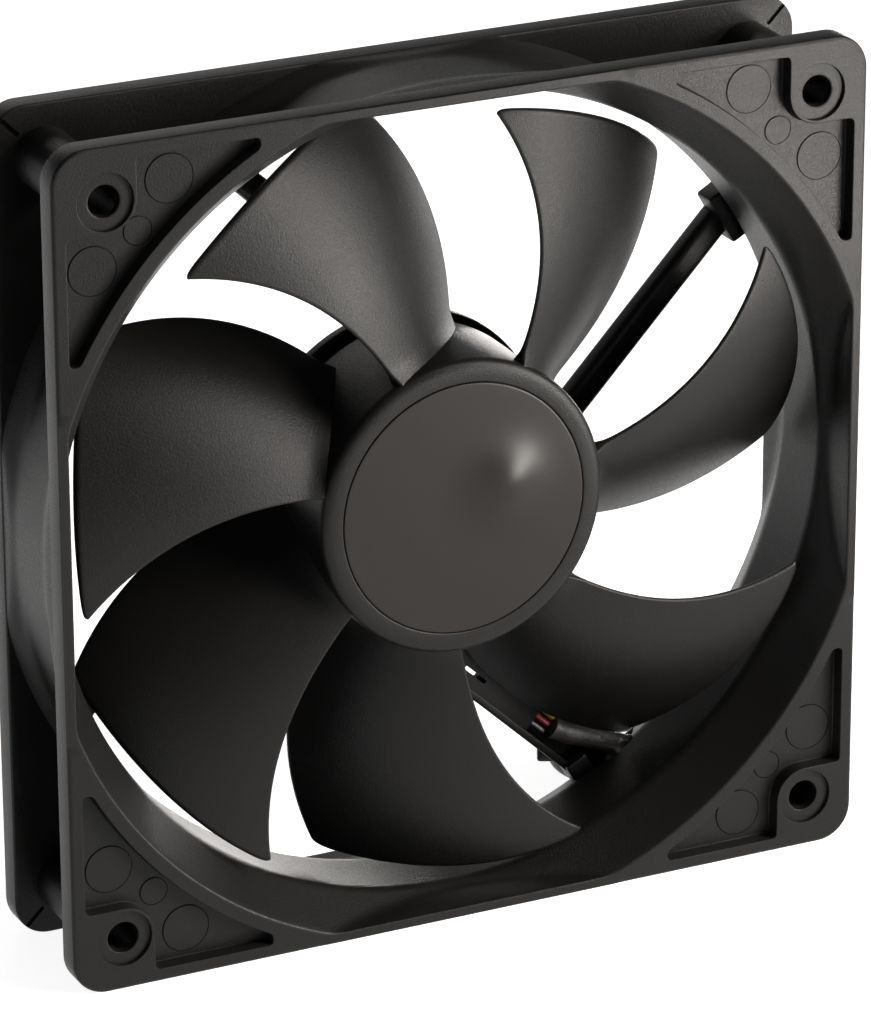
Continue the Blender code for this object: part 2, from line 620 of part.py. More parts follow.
def blade(turn):
    """One sickle blade: a cambered sheet between its edges, thickened, from the hub wall to the tip."""
    chord = np.linspace(0.0, 1.0, BLADE_CHORD_STEPS + 1)[:, None]
    root = HUB_RADIUS - HUB_WALL / 2
    tip = TIP_RADIUS - TIP_ROUNDING * np.abs(2 * chord - 1) ** TIP_SQUARENESS
    radius = root + (tip - root) * np.linspace(0.0, 1.0, BLADE_SPAN_STEPS + 1)[None, :]
    span = (radius - HUB_RADIUS) / (TIP_RADIUS - HUB_RADIUS)
    lead = LEAD_ROOT_ANGLE + LEAD_SWEEP * span + LEAD_CURL * span ** 2
    trail = TRAIL_ROOT_ANGLE + TRAIL_SWEEP * span + TRAIL_CURL * span ** 2
    front = LEAD_DEPTH - LEAD_HOLLOW * span * (1 - span)
    rear = STRUT_FRONT - TRAIL_STRUT_GAP + TRAIL_FULLNESS * span * (1 - span)
    camber = ROOT_CAMBER + (TIP_CAMBER - ROOT_CAMBER) * span
    angle = np.radians(lead + (trail - lead) * chord - 360 / BLADE_COUNT * turn)
    depth = front + (rear - front) * chord - 4 * camber * chord * (1 - chord)
    sheet = np.stack([radius * np.cos(angle), depth_y(depth), radius * np.sin(angle)], axis=-1)
    normal = np.cross(np.gradient(sheet, axis=0), np.gradient(sheet, axis=1))
    normal /= np.linalg.norm(normal, axis=-1, keepdims=True)
    half = (BLADE_EDGE_THICKNESS + (BLADE_THICKNESS - BLADE_EDGE_THICKNESS) * 4 * chord * (1 - chord)) / 2
    shape = bmesh.new()
    sides = [[[shape.verts.new(point) for point in row] for row in sheet + sign * half[..., None] * normal]
             for sign in (1, -1)]
    steps = [(i, j) for i in range(BLADE_CHORD_STEPS) for j in range(BLADE_SPAN_STEPS)]
    for side in sides:
        for i, j in steps:
            shape.faces.new((side[i][j], side[i + 1][j], side[i + 1][j + 1], side[i][j + 1]))
    rims = [[side[i][0] for i in range(BLADE_CHORD_STEPS)] + side[-1][:-1]
            + [side[i][-1] for i in range(BLADE_CHORD_STEPS, 0, -1)] + side[0][:0:-1] for side in sides]
    for k in range(len(rims[0])):
        shape.faces.new((rims[0][k - 1], rims[0][k], rims[1][k], rims[1][k - 1]))
    return shape


def build_rotor(finishes):
    """The turning half: impeller, yoke, magnet, shaft and label, on an empty on the axis."""
    axis = bpy.data.objects.new("rotor_axis", None)
    bpy.context.collection.objects.link(axis)
    seat = HUB_RECESS + LABEL_THICKNESS + FIT
    edge = [(HUB_RADIUS - HUB_EDGE + x, HUB_RECESS + HUB_EDGE - z)
            for x, z in arc((0.0, 0.0), HUB_EDGE, 90, 0, EDGE_STEPS)]
    hub = turned([(0.0, seat), (LABEL_RADIUS + FIT, seat), (LABEL_RADIUS + FIT, HUB_RECESS)] + edge
                 + [(HUB_RADIUS, SKIRT_END), (SKIRT_BORE, SKIRT_END), (SKIRT_BORE, HUB_INNER),
                    (0.0, HUB_INNER)], HUB_SIDES)
    impeller = make_object("impeller", hub, finishes["black"], axis)
    for turn in range(BLADE_COUNT):
        combine(impeller, "UNION", f"blade_{turn + 1}", blade(turn))
    make_object("hub_label", turned([(0.0, HUB_RECESS), (LABEL_RADIUS, HUB_RECESS),
                                     (LABEL_RADIUS, HUB_RECESS + LABEL_THICKNESS),
                                     (0.0, HUB_RECESS + LABEL_THICKNESS)], HUB_SIDES),
                finishes["label"], axis)
    yoke_bore = BUSH_RADIUS + FIT
    make_object("rotor_yoke", turned([(yoke_bore, YOKE_FRONT), (YOKE_RADIUS, YOKE_FRONT),
                                      (YOKE_RADIUS, YOKE_END), (YOKE_RADIUS - YOKE_WALL, YOKE_END),
                                      (YOKE_RADIUS - YOKE_WALL, YOKE_FRONT + YOKE_WALL),
                                      (yoke_bore, YOKE_FRONT + YOKE_WALL)], MOTOR_SIDES),
                finishes["steel"], axis)
    make_object("ring_magnet", ring(MAGNET_BORE, MAGNET_RADIUS, YOKE_FRONT + YOKE_WALL + MAGNET_FRONT_GAP,
                                    YOKE_END - MAGNET_INSET, MOTOR_SIDES), finishes["magnet"], axis)
    groove = SHAFT_RADIUS - CLIP_GRIP
    make_object("shaft", turned([(0.0, YOKE_FRONT), (SHAFT_RADIUS, YOKE_FRONT), (SHAFT_RADIUS, GROOVE_FRONT),
                                 (groove, GROOVE_FRONT), (groove, GROOVE_REAR), (SHAFT_RADIUS, GROOVE_REAR),
                                 (SHAFT_RADIUS, SHAFT_END), (0.0, SHAFT_END)], MOTOR_SIDES),
                finishes["steel"], axis)
    make_object("shaft_bush", ring(SHAFT_BORE, BUSH_RADIUS, YOKE_FRONT, BUSH_END, MOTOR_SIDES),
                finishes["brass"], axis)
    make_object("retaining_clip", ring(groove + FIT, groove + FIT + CLIP_WALL, CLIP_FRONT, CLIP_REAR,
                                       MOTOR_SIDES), finishes["white"], axis)


def smooth_route(points, spacing):
    """Points at an even spacing on a Catmull-Rom curve through a route's own points, in metres."""
    knots = np.array([(x * MM, FRAME_DEPTH / 2 - ahead * MM, z * MM) for x, ahead, z in points])
    knots = np.vstack([2 * knots[0] - knots[1], knots, 2 * knots[-1] - knots[-2]])
    along = np.linspace(0.0, 1.0, ROUTE_STEPS, endpoint=False)[:, None]
    fine = []
    for a, b, c, d in zip(knots, knots[1:], knots[2:], knots[3:]):
        fine.append(0.5 * (2 * b + (c - a) * along + (2 * a - 5 * b + 4 * c - d) * along ** 2
                           + (3 * b - a - 3 * c + d) * along ** 3))
    fine = np.vstack(fine + [knots[-2:-1]])
    length = np.concatenate([[0.0], np.cumsum(np.linalg.norm(np.diff(fine, axis=0), axis=1))])
    stops = np.linspace(0.0, length[-1], max(2, round(length[-1] / spacing)) + 1)
    return np.stack([np.interp(stops, length, fine[:, k]) for k in range(3)], axis=-1)


def unit(step):
    """A step's direction."""
    return step / np.linalg.norm(step)


def tube(name, points, radii, resolution, finish):
    """A round tube along points: a bevelled curve with filled caps."""
    curve = bpy.data.curves.new(name, "CURVE")
    curve.dimensions = "3D"
    curve.bevel_depth = 1.0
    curve.bevel_resolution = resolution
    curve.use_fill_caps = True
    spline = curve.splines.new("POLY")
    spline.points.add(len(points) - 1)
    for item, point, radius in zip(spline.points, points, np.broadcast_to(radii, len(points))):
        item.co = (*point, 1.0)
        item.radius = radius
    curve.materials.append(finish)
    piece = bpy.data.objects.new(name, curve)
    bpy.context.collection.objects.link(piece)
    return piece


def hank_loop(share, offset):
    """A point of the hank's loop in plan: round folds and runs drawn in at the waist.

    share counts loops from the front end of the right fold, offset moves the point outwards.
    """
    fold, half, dip = HANK_FOLD_RADIUS, HANK_FOLD_SPAN / 2, HANK_FOLD_RADIUS - HANK_WAIST
    bend, run = math.pi * fold, HANK_FOLD_SPAN
    travel = (share % 1.0) * 2 * (bend + run)
    mirror = travel > bend + run
    travel -= (bend + run) * mirror
    if travel < bend:
        angle = travel / fold - math.pi / 2
        x = half + (fold + offset) * math.cos(angle)
        y = (fold + offset) * math.sin(angle)
    else:
        x = half - (travel - bend)
        slope = dip / 2 * math.pi / half * math.sin(math.pi * x / half)
        y = fold - dip / 2 * (1 + math.cos(math.pi * x / half))
        x -= offset * slope / math.hypot(1, slope)
        y += offset / math.hypot(1, slope)
    return (-x, -y) if mirror else (x, y)


def hank_path():
    """The hank's centre line: in round the bottom layer, up, and out round the top one to the plug."""
    steps = round((HANK_END - HANK_START) * HANK_POINTS_PER_LOOP)
    shares = np.linspace(HANK_START, HANK_END, steps + 1)
    outs = np.interp(shares - HANK_START, HANK_TURNS, HANK_OUTS) * HANK_STEP
    layers = np.interp(shares - HANK_START, HANK_TURNS, HANK_LAYERS)
    points = []
    for share, out, layer in zip(shares, outs, layers):
        x, y = hank_loop(share, out)
        waist = (1 + math.cos(math.pi * min(abs(x) / (HANK_FOLD_SPAN / 2), 1.0))) / 2
        lift = HANK_FLOOR_GAP + waist * (TIE_THICKNESS + FIT)
        points.append((HANK_CENTRE[0] + x, HANK_CENTRE[1] + y,
                       REST_PLANE + CABLE_DIAMETER / 2 + lift + layer * HANK_LAYER))
    return np.array(points)


def self_gap(points, diameter):
    """The least gap between a tube's stretches that are over three diameters apart along it."""
    parts = np.array(GAP_SAMPLES)[None, :, None]
    fine = (points[:-1, None] + (points[1:] - points[:-1])[:, None] * parts).reshape(-1, 3)
    length = np.concatenate([[0.0], np.cumsum(np.linalg.norm(np.diff(fine, axis=0), axis=1))])
    apart = np.linalg.norm(fine[:, None] - fine[None, :], axis=-1)
    apart[np.abs(length[:, None] - length[None, :]) < 3 * diameter] = np.inf
    return apart.min() - diameter


def plug_frame(end, heading):
    """Where the plug lies: its back face past the cable's end, along the cable's heading."""
    flat = Vector((heading[0], heading[1], 0.0)).normalized()
    bottom = REST_PLANE + HANK_FLOOR_GAP + CABLE_DIAMETER + HANK_LAYER + FIT
    back = Vector((end[0], end[1], bottom)) + flat * FIT
    across = Vector((-flat.y, flat.x, 0.0))
    return Matrix((flat, across, Vector((0, 0, 1)))).transposed().to_4x4(), back


def plug_box(turn, back, low, high):
    """A box in the plug's own frame: along it from its back face, across it and up from its bottom."""
    low, high = Vector(low), Vector(high)
    shape = bmesh.new()
    place = Matrix.Translation((low + high) / 2) @ Matrix.Diagonal((*(high - low), 1.0))
    bmesh.ops.create_cube(shape, size=1.0, matrix=Matrix.Translation(back) @ turn @ place)
    return shape


def build_plug(path, finishes):
    """The three-way plug on the hank, with a contact in each of its open cavities."""
    turn, back = plug_frame(path[-1], path[-1] - path[-2])
    housing = make_object("plug_housing", plug_box(turn, back, (0.0, -PLUG_WIDTH / 2, 0.0),
                                                   (PLUG_LENGTH, PLUG_WIDTH / 2, PLUG_HEIGHT)),
                          finishes["black"])
    half = CONTACT_SIZE / 2 + FIT
    middle = PLUG_HEIGHT / 2
    for number in (1, 2, 3):
        across = (number - 2) * CONTACT_PITCH
        combine(housing, "DIFFERENCE", f"plug_cavity_{number}",
                plug_box(turn, back, (PLUG_FLOOR, across - half, middle - half),
                         (PLUG_LENGTH + OVERRUN, across + half, middle + half)))
        make_object(f"plug_contact_{number}",
                    plug_box(turn, back, (PLUG_FLOOR + FIT, across - half + FIT, middle - half + FIT),
                             (PLUG_LENGTH - FIT, across + half - FIT, middle + half - FIT)),
                    finishes["brass"])


def build_tie(finish):
    """The tie round the hank's waist: a flat band lying on the floor."""
    half_out = HANK_WAIST + HANK_STEP + CABLE_DIAMETER / 2 + FIT + TIE_THICKNESS
    top = HANK_FLOOR_GAP + 2 * (TIE_THICKNESS + FIT) + CABLE_DIAMETER + HANK_LAYER + TIE_THICKNESS
    x, y = HANK_CENTRE
    low = Vector((x - TIE_WIDTH / 2, y - half_out, REST_PLANE))
    high = Vector((x + TIE_WIDTH / 2, y + half_out, REST_PLANE + top))
    piece = make_object("cable_tie", box(high - low, (low + high) / 2), finish)
    margin = Vector((-OVERRUN, TIE_THICKNESS, TIE_THICKNESS))
    low, high = low + margin, high - margin
    combine(piece, "DIFFERENCE", "tie_opening", box(high - low, (low + high) / 2))


def build_wiring(finishes):
    """Three leads in the wire strut, the boot at its end, the cable, the hank, its tie and its plug."""
    for name, side in (("lead_black", -1), ("lead_red", 0), ("lead_yellow", 1)):
        route = np.array(LEAD_ROUTE)
        heading = np.gradient(route[:, [0, 2]], axis=0)
        heading /= np.linalg.norm(heading, axis=1, keepdims=True)
        shift = side * np.array(LEAD_SPREAD)[:, None]
        route[:, [0, 2]] += shift * heading[:, ::-1] * (-1.0, 1.0)
        tube(name, smooth_route(route, 3 * LEAD_DIAMETER), LEAD_DIAMETER / 2, 2, finishes[name])
    boot = smooth_route(BOOT_ROUTE, CABLE_DIAMETER)
    tube("heat_shrink_boot", boot, np.linspace(BOOT_DIAMETER, BOOT_END_DIAMETER, len(boot)) / 2, 2,
         finishes["rubber"])
    path = hank_path()
    off_boot = unit(boot[-1] - boot[-2])
    onto_hank = unit(path[1] - path[0])
    first, last = boot[-1] + off_boot * FIT, path[0] - onto_hank * FIT
    inner = [first + off_boot * CABLE_DIAMETER, last - onto_hank * CABLE_DIAMETER]
    ends = [(x / MM, (FRAME_DEPTH / 2 - y) / MM, z / MM) for x, y, z in inner]
    cable = np.vstack([first, smooth_route(ends[:1] + CABLE_ROUTE + ends[1:], CABLE_SPACING), last])
    tube("cable", cable, CABLE_DIAMETER / 2, 2, finishes["rubber"])
    tube("cable_hank", path, CABLE_DIAMETER / 2, 1, finishes["rubber"])
    print("least gap in the hank, mm:", round(self_gap(path, CABLE_DIAMETER) / MM, 2))
    build_tie(finishes["black"])
    build_plug(path, finishes)


def main():
    """Clear the scene and build every piece."""
    for item in list(bpy.data.objects):
        bpy.data.objects.remove(item, do_unlink=True)
    finishes = {
        "black": material("black_plastic", (0.022, 0.022, 0.023), 0.55),
        "label": material("label_film", (0.06, 0.055, 0.052), 0.35),
        "steel": material("steel", (0.42, 0.42, 0.43), 0.35, 1.0),
        "magnet": material("magnet", (0.05, 0.045, 0.04), 0.6),
        "brass": material("brass", (0.65, 0.45, 0.18), 0.3, 1.0),
        "bronze": material("bronze", (0.45, 0.27, 0.13), 0.5, 1.0),
        "copper": material("copper", (0.6, 0.25, 0.1), 0.35, 1.0),
        "white": material("white_plastic", (0.75, 0.74, 0.7), 0.45),
        "board": material("circuit_board", (0.03, 0.12, 0.05), 0.5),
        "chip": material("chip", (0.02, 0.02, 0.02), 0.5),
        "rubber": material("cable_sleeve", (0.015, 0.015, 0.016), 0.5),
        "lead_black": material("lead_black", (0.015, 0.015, 0.015), 0.4),
        "lead_red": material("lead_red", (0.45, 0.02, 0.02), 0.4),
        "lead_yellow": material("lead_yellow", (0.65, 0.45, 0.03), 0.4),
    }
    build_frame(finishes["black"])
    build_motor(finishes)
    build_rotor(finishes)
    build_wiring(finishes)


main()
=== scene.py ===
"""The looks of a 120 mm case fan: fine meshes and finishes round its CAD frame, in metres, +Z up."""

import bmesh
import bpy
import numpy as np
from mathutils import Matrix, Vector
from mathutils.geometry import delaunay_2d_cdt


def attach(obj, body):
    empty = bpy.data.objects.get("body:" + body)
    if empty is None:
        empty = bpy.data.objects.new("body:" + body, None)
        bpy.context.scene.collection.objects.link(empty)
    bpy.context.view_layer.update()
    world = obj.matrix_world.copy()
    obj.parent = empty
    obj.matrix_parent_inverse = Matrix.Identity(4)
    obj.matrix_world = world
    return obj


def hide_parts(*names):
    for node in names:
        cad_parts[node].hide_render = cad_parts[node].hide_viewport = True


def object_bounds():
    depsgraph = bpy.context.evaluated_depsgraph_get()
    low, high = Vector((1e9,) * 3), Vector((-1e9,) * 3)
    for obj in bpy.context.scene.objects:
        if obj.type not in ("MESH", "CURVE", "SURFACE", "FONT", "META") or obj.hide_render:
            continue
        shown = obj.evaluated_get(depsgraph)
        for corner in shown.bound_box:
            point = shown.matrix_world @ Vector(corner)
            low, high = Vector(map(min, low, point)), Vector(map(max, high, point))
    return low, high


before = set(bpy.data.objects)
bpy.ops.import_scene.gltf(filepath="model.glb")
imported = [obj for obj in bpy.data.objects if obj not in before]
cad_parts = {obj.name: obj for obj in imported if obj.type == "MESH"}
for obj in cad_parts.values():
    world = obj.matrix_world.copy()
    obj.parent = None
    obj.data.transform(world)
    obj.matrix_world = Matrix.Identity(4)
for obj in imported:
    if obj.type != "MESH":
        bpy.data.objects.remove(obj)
cad_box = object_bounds()
for leftover in [item for item in bpy.data.objects if item.type in ("CAMERA", "LIGHT")]:
    bpy.data.objects.remove(leftover)

# Camera
# A long lens at the photograph's viewing angle: from the left of the labelled side and above it,
# far enough back for the fan's sides to stay nearly parallel.
CAMERA_PLACE = (-0.3256, -0.6804, 0.2961)
CAMERA_YAW, CAMERA_PITCH, CAMERA_ROLL = 25.6, 21.7, -0.27
CAMERA_LENS, CAMERA_SENSOR = 207.4, 36.0


def placed(name, data):
    """A new object in the scene that holds some data."""
    item = bpy.data.objects.new(name, data)
    bpy.context.collection.objects.link(item)
    return item


camera_data = bpy.data.cameras.new("camera")
camera_data.lens = CAMERA_LENS
camera_data.sensor_width = CAMERA_SENSOR
camera = placed("camera", camera_data)
turns = ((-CAMERA_YAW, "Z"), (90.0 - CAMERA_PITCH, "X"), (CAMERA_ROLL, "Z"))
yaw, pitch, roll = (Matrix.Rotation(np.radians(degrees), 4, axis) for degrees, axis in turns)
camera.matrix_world = Matrix.Translation(CAMERA_PLACE) @ yaw @ pitch @ roll
bpy.context.scene.camera = camera
bpy.context.scene.view_settings.view_transform = "Standard"


# Studio
# A white table under soft, slightly warm lamps with narrowed beams: three at the right in front, one above
# the other, a small one low by the right corner and two weak ones behind. The room is white up to the
# horizon and dark above it.
class Wire:
    """A shader socket: arithmetic on it adds Math nodes, and node() adds a node of any other type."""

    def __init__(self, tree, socket):
        self.tree = tree
        self.socket = socket

    def node(self, kind, sockets=None, output=0, settings=None):
        made = self.tree.nodes.new("ShaderNode" + kind)
        for name, value in (settings or {}).items():
            if name == "stops":
                ramp = made.color_ramp.elements
                while len(ramp) < len(value):
                    ramp.new(1.0)
                for element, (position, colour) in zip(ramp, value):
                    element.position = position
                    element.color = (*colour, 1.0)
            else:
                setattr(made, name, value)
        for name, value in (sockets or {}).items():
            if isinstance(value, Wire):
                self.tree.links.new(value.socket, made.inputs[name])
            else:
                made.inputs[name].default_value = value
        return Wire(self.tree, made.outputs[output]) if made.outputs else None

    def math(self, operation, first, second):
        return self.node("Math", {0: first, 1: second}, settings={"operation": operation})

    def __add__(self, other):
        return self.math("ADD", self, other)

    def __sub__(self, other):
        return self.math("SUBTRACT", self, other)

    def __rsub__(self, other):
        return self.math("SUBTRACT", other, self)

    def __mul__(self, other):
        return self.math("MULTIPLY", self, other)

    __radd__ = __add__
    __rmul__ = __mul__


def empty_tree(owner):
    """The node tree of a material or world with nothing in it, as a Wire to start from."""
    owner.use_nodes = True
    owner.node_tree.nodes.clear()
    return Wire(owner.node_tree, None)


def seen_directly(tree):
    """1 for rays from the camera, a mirror or glass, and 0 for light that falls on things."""
    rays = [tree.node("LightPath", None, f"Is {kind} Ray") for kind in ("Camera", "Glossy", "Transmission")]
    return tree.math("MAXIMUM", tree.math("MAXIMUM", rays[0], rays[1]), rays[2])


WHITE = (1.0, 1.0, 1.0, 1.0)
WORLD_STRENGTH = 0.08
SKY_STOPS = [(0.06, (1.0, 1.0, 1.0)), (0.22, (0.0, 0.0, 0.0))]
FLOOR_REACH = 3.0
FLOOR_COLOUR = (0.88, 0.88, 0.88, 1.0)
FLOOR_GLOW = 0.9
world = bpy.data.worlds.new("studio")
bpy.context.scene.world = world
studio = empty_tree(world)
direction = studio.node("TexCoord", None, "Generated")
height = studio.node("SeparateXYZ", {"Vector": direction}, "Z")
horizon = studio.node("ValToRGB", {"Fac": height}, settings={"stops": SKY_STOPS})
strength = seen_directly(studio) * horizon * (1.0 - WORLD_STRENGTH) + WORLD_STRENGTH
sky = studio.node("Background", {"Color": WHITE, "Strength": strength})
studio.node("OutputWorld", {"Surface": sky})

table_material = bpy.data.materials.new("table")
table = empty_tree(table_material)
paper = table.node("BsdfDiffuse", {"Color": FLOOR_COLOUR})
glow = table.node("Emission", {"Color": WHITE, "Strength": seen_directly(table) * FLOOR_GLOW})
bright_paper = table.node("AddShader", {0: paper, 1: glow})
table.node("OutputMaterial", {"Surface": bright_paper})
floor_level = cad_box[0][2]
floor_corners = [(x * FLOOR_REACH, y * FLOOR_REACH, floor_level)
                 for x, y in ((-1, -1), (1, -1), (1, 1), (-1, 1))]
floor_mesh = bpy.data.meshes.new("table")
floor_mesh.from_pydata(floor_corners, [], [(0, 1, 2, 3)])
floor_mesh.materials.append(table_material)
placed("table", floor_mesh)

LAMP_COLOUR = (1.0, 0.955, 0.91)


def lamp(name, place, width, height, beam, power, target=(0.0, 0.0, 0.0)):
    """A soft rectangular lamp aimed from its place at a target, with louvres that narrow its beam."""
    light = bpy.data.lights.new(name, "AREA")
    light.shape = "RECTANGLE"
    light.size = width
    light.size_y = height
    light.spread = np.radians(beam)
    light.energy = power
    light.color = LAMP_COLOUR
    item = placed(name, light)
    aim = (Vector(target) - Vector(place)).to_track_quat("-Z", "Y")
    item.matrix_world = Matrix.Translation(place) @ aim.to_matrix().to_4x4()
    item.visible_camera = False


lamp("lamp_near", (0.125, -0.15, -0.005), 0.06, 0.04, 80.0, 0.062, (0.05, -0.012, 0.05))
lamp("lamp_right", (0.62, -0.48, 0.13), 0.4, 0.25, 70.0, 1.15)
lamp("lamp_upper_right", (0.56, -0.44, 0.45), 0.3, 0.25, 70.0, 0.7)
lamp("lamp_above", (0.36, -0.32, 0.74), 0.35, 0.35, 70.0, 0.26)
lamp("lamp_back", (0.1, 0.9, 0.45), 0.5, 0.4, 100.0, 0.25)
lamp("lamp_back_low", (0.46, 0.52, -0.046), 0.4, 0.022, 70.0, 0.2, (0.0, 0.0, -0.01))

# Cable
# A round black sleeve over the three leads, from the boot at the wire strut, out between the flanges
# and down to the table, then folded into a hank behind the fan. Its route repeats the CAD route.
MM = 0.001
REAR_FACE = 12.5 * MM
CABLE_DIAMETER, CABLE_SPACING = 2.4 * MM, 1.2 * MM
KNOT_SPACING, BOOT_SPACING = 5.0 * MM, 0.6 * MM
CURVE_STEPS = 40
BOOT_GAP = 0.3 * MM
ROUND_SIDES = 20
END_PAST, END_SIZES = np.array([0.15, 0.045]), np.array([0.0, 0.8])
WELD = 0.002 * MM
SHARP = 40.0
BOOT_ROUTE = [(22.9, 3.0, -44.35), (25.3, 3.0, -45.7), (28.6, 3.4, -46.9), (32.2, 4.1, -48.2)]
CABLE_ROUTE = [(39.5, 6.4, -49.6), (45.0, 7.8, -47.8), (51.0, 8.3, -46.1), (57.0, 8.2, -46.0),
               (62.2, 6.8, -47.6), (65.4, 3.8, -51.6), (66.6, -0.2, -56.2), (67.8, -4.0, -58.4)]
HANK_CENTRE = (51.5 * MM, REAR_FACE + 12.2 * MM)
HANK_FOLD_RADIUS, HANK_FOLD_SPAN = 7.4 * MM, 19.0 * MM
HANK_WAIST = 5.0 * MM
HANK_STEP, HANK_LAYER = 3.7 * MM, 3.0 * MM
HANK_FLOOR_GAP = 0.05 * MM
HANK_START, HANK_END = 0.10, 2.613
HANK_POINTS_PER_LOOP = 24
HANK_TURNS = [0.0, 1.0, 1.5, 2.3, 2.5]
HANK_OUTS = [1.0, 0.0, 0.0, 0.8, 0.3]
HANK_LAYERS = [0.0, 0.0, 1.0, 1.0, 2.0]
TIE_THICKNESS, TIE_PLAY = 0.6 * MM, 0.3 * MM


def in_metres(route):
    """A route of x, distance ahead of the rear face and z in mm, as points in metres."""
    points = np.array(route, dtype=float) * MM
    points[:, 1] = REAR_FACE - points[:, 1]
    return points


def smooth_path(knots, spacing):
    """Points at an even spacing along the Catmull-Rom curve through some knots."""
    knots = np.vstack([2 * knots[0] - knots[1], knots, 2 * knots[-1] - knots[-2]])
    a, b, c, d = (knots[k:len(knots) - 3 + k, None] for k in range(4))
    along = np.linspace(0.0, 1.0, CURVE_STEPS, endpoint=False)[None, :, None]
    fine = 0.5 * (2 * b + (c - a) * along + (2 * a - 5 * b + 4 * c - d) * along ** 2
                  + (3 * b - a - 3 * c + d) * along ** 3)
    fine = np.vstack([fine.reshape(-1, 3), knots[-2:-1]])
    travel = np.concatenate([[0.0], np.cumsum(np.linalg.norm(np.diff(fine, axis=0), axis=1))])
    stops = np.linspace(0.0, travel[-1], max(2, round(travel[-1] / spacing)) + 1)
    return np.stack([np.interp(stops, travel, fine[:, k]) for k in range(3)], axis=-1)


def hank_path():
    """The hank's centre line: a loop of two round folds and two runs drawn in at the tie, wound from
    the outside in on the table, up one layer, and out again to the plug."""
    steps = round((HANK_END - HANK_START) * HANK_POINTS_PER_LOOP)
    shares = np.linspace(HANK_START, HANK_END, steps + 1)
    out = np.interp(shares - HANK_START, HANK_TURNS, HANK_OUTS) * HANK_STEP
    layer = np.interp(shares - HANK_START, HANK_TURNS, HANK_LAYERS) * HANK_LAYER
    half, dip = HANK_FOLD_SPAN / 2, HANK_FOLD_RADIUS - HANK_WAIST
    bend, run = np.pi * HANK_FOLD_RADIUS, HANK_FOLD_SPAN
    travel = (shares % 1.0) * 2 * (bend + run)
    mirror = np.where(travel > bend + run, -1.0, 1.0)
    travel = travel % (bend + run)
    angle = travel / HANK_FOLD_RADIUS - np.pi / 2
    along = half - (travel - bend)
    slope = dip / 2 * np.pi / half * np.sin(np.pi * along / half)
    reach = np.hypot(1.0, slope)
    in_fold = travel < bend
    x = np.where(in_fold, half + (HANK_FOLD_RADIUS + out) * np.cos(angle), along - out * slope / reach)
    y = np.where(in_fold, (HANK_FOLD_RADIUS + out) * np.sin(angle),
                 HANK_FOLD_RADIUS - dip / 2 * (1 + np.cos(np.pi * along / half)) + out / reach)
    waist = (1 + np.cos(np.pi * np.minimum(np.abs(x) / half, 1.0))) / 2
    z = floor_level + CABLE_DIAMETER / 2 + HANK_FLOOR_GAP + waist * (TIE_THICKNESS + TIE_PLAY) + layer
    return np.stack([HANK_CENTRE[0] + mirror * x, HANK_CENTRE[1] + mirror * y, z], axis=-1)


def unit(vectors):
    """Vectors with their length made 1."""
    return vectors / np.linalg.norm(vectors, axis=-1, keepdims=True)


def skin(points):
    """Rows of points, each of which closes into a ring, as a shell of quads."""
    index = np.arange(len(points) * points.shape[1]).reshape(points.shape[:2])
    right = np.roll(index, -1, axis=1)
    faces = np.stack([index[:-1], right[:-1], right[1:], index[1:]], axis=-1)
    return points.reshape(-1, 3), faces.reshape(-1, 4)


def swept(path, radii, sides=ROUND_SIDES):
    """A round section carried along a path: each ring lies across the path's own direction, and the
    rings shrink to a point at both ends, which closes the tube."""
    heading = unit(np.gradient(path, axis=0))
    side = unit(np.cross(heading, (0.0, 0.0, 1.0)))
    up = np.cross(side, heading)
    radii = np.broadcast_to(radii, len(path)).astype(float)
    past = END_PAST[:, None]
    centres = np.vstack([path[:1] - heading[:1] * radii[0] * past, path,
                         path[-1:] + heading[-1:] * radii[-1] * past[::-1]])
    sizes = np.concatenate([END_SIZES * radii[0], radii, END_SIZES[::-1] * radii[-1]])
    side, up = (np.vstack([each[:1]] * 2 + [each] + [each[-1:]] * 2) for each in (side, up))
    turn = np.linspace(0.0, 2 * np.pi, sides, endpoint=False)[None, :, None]
    ring = np.cos(turn) * side[:, None] + np.sin(turn) * up[:, None]
    return skin(centres[:, None] + ring * sizes[:, None, None])


def joined(*shells):
    """Several shells of points and faces as one list of points and one list of faces."""
    points, faces, count = [], [], 0
    for shell_points, shell_faces in shells:
        points.append(np.asarray(shell_points, dtype=float))
        faces += [[int(corner) + count for corner in face] for face in shell_faces]
        count += len(shell_points)
    return np.vstack(points), faces


def solid(name, shell, sharp=SHARP):
    """Stores a closed shell as an object: doubles merged, open ends filled, faces outwards,
    smooth up to an angle."""
    points, faces = shell
    mesh = bpy.data.meshes.new(name)
    mesh.from_pydata(np.asarray(points).tolist(), [], [list(face) for face in faces])
    shape = bmesh.new()
    shape.from_mesh(mesh)
    bmesh.ops.remove_doubles(shape, verts=shape.verts, dist=WELD)
    bmesh.ops.dissolve_degenerate(shape, edges=shape.edges, dist=WELD / 10)
    bmesh.ops.holes_fill(shape, edges=[edge for edge in shape.edges if edge.is_boundary], sides=0)
    bmesh.ops.recalc_face_normals(shape, faces=shape.faces)
    shape.to_mesh(mesh)
    shape.free()
    mesh.shade_smooth()
    mesh.set_sharp_from_angle(angle=np.radians(sharp))
    return placed(name, mesh)


def piece(name, shell, material, replaced=(), body="frame", sharp=SHARP):
    """A closed shell as a piece of the fan, with its material, its body and the nodes it stands for."""
    item = solid(name, shell, sharp)
    item.data.materials.append(material)
    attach(item, body)
    if replaced:
        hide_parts(*replaced)
    return item


GRAIN_SHEEN = 3.5
NOISE_DETAIL, NOISE_ROUGHNESS = 3.0, 0.6
PATCH_SHARE = 0.6
MIX_FIRST, MIX_SECOND, MIX_COLOUR = 6, 7, 2


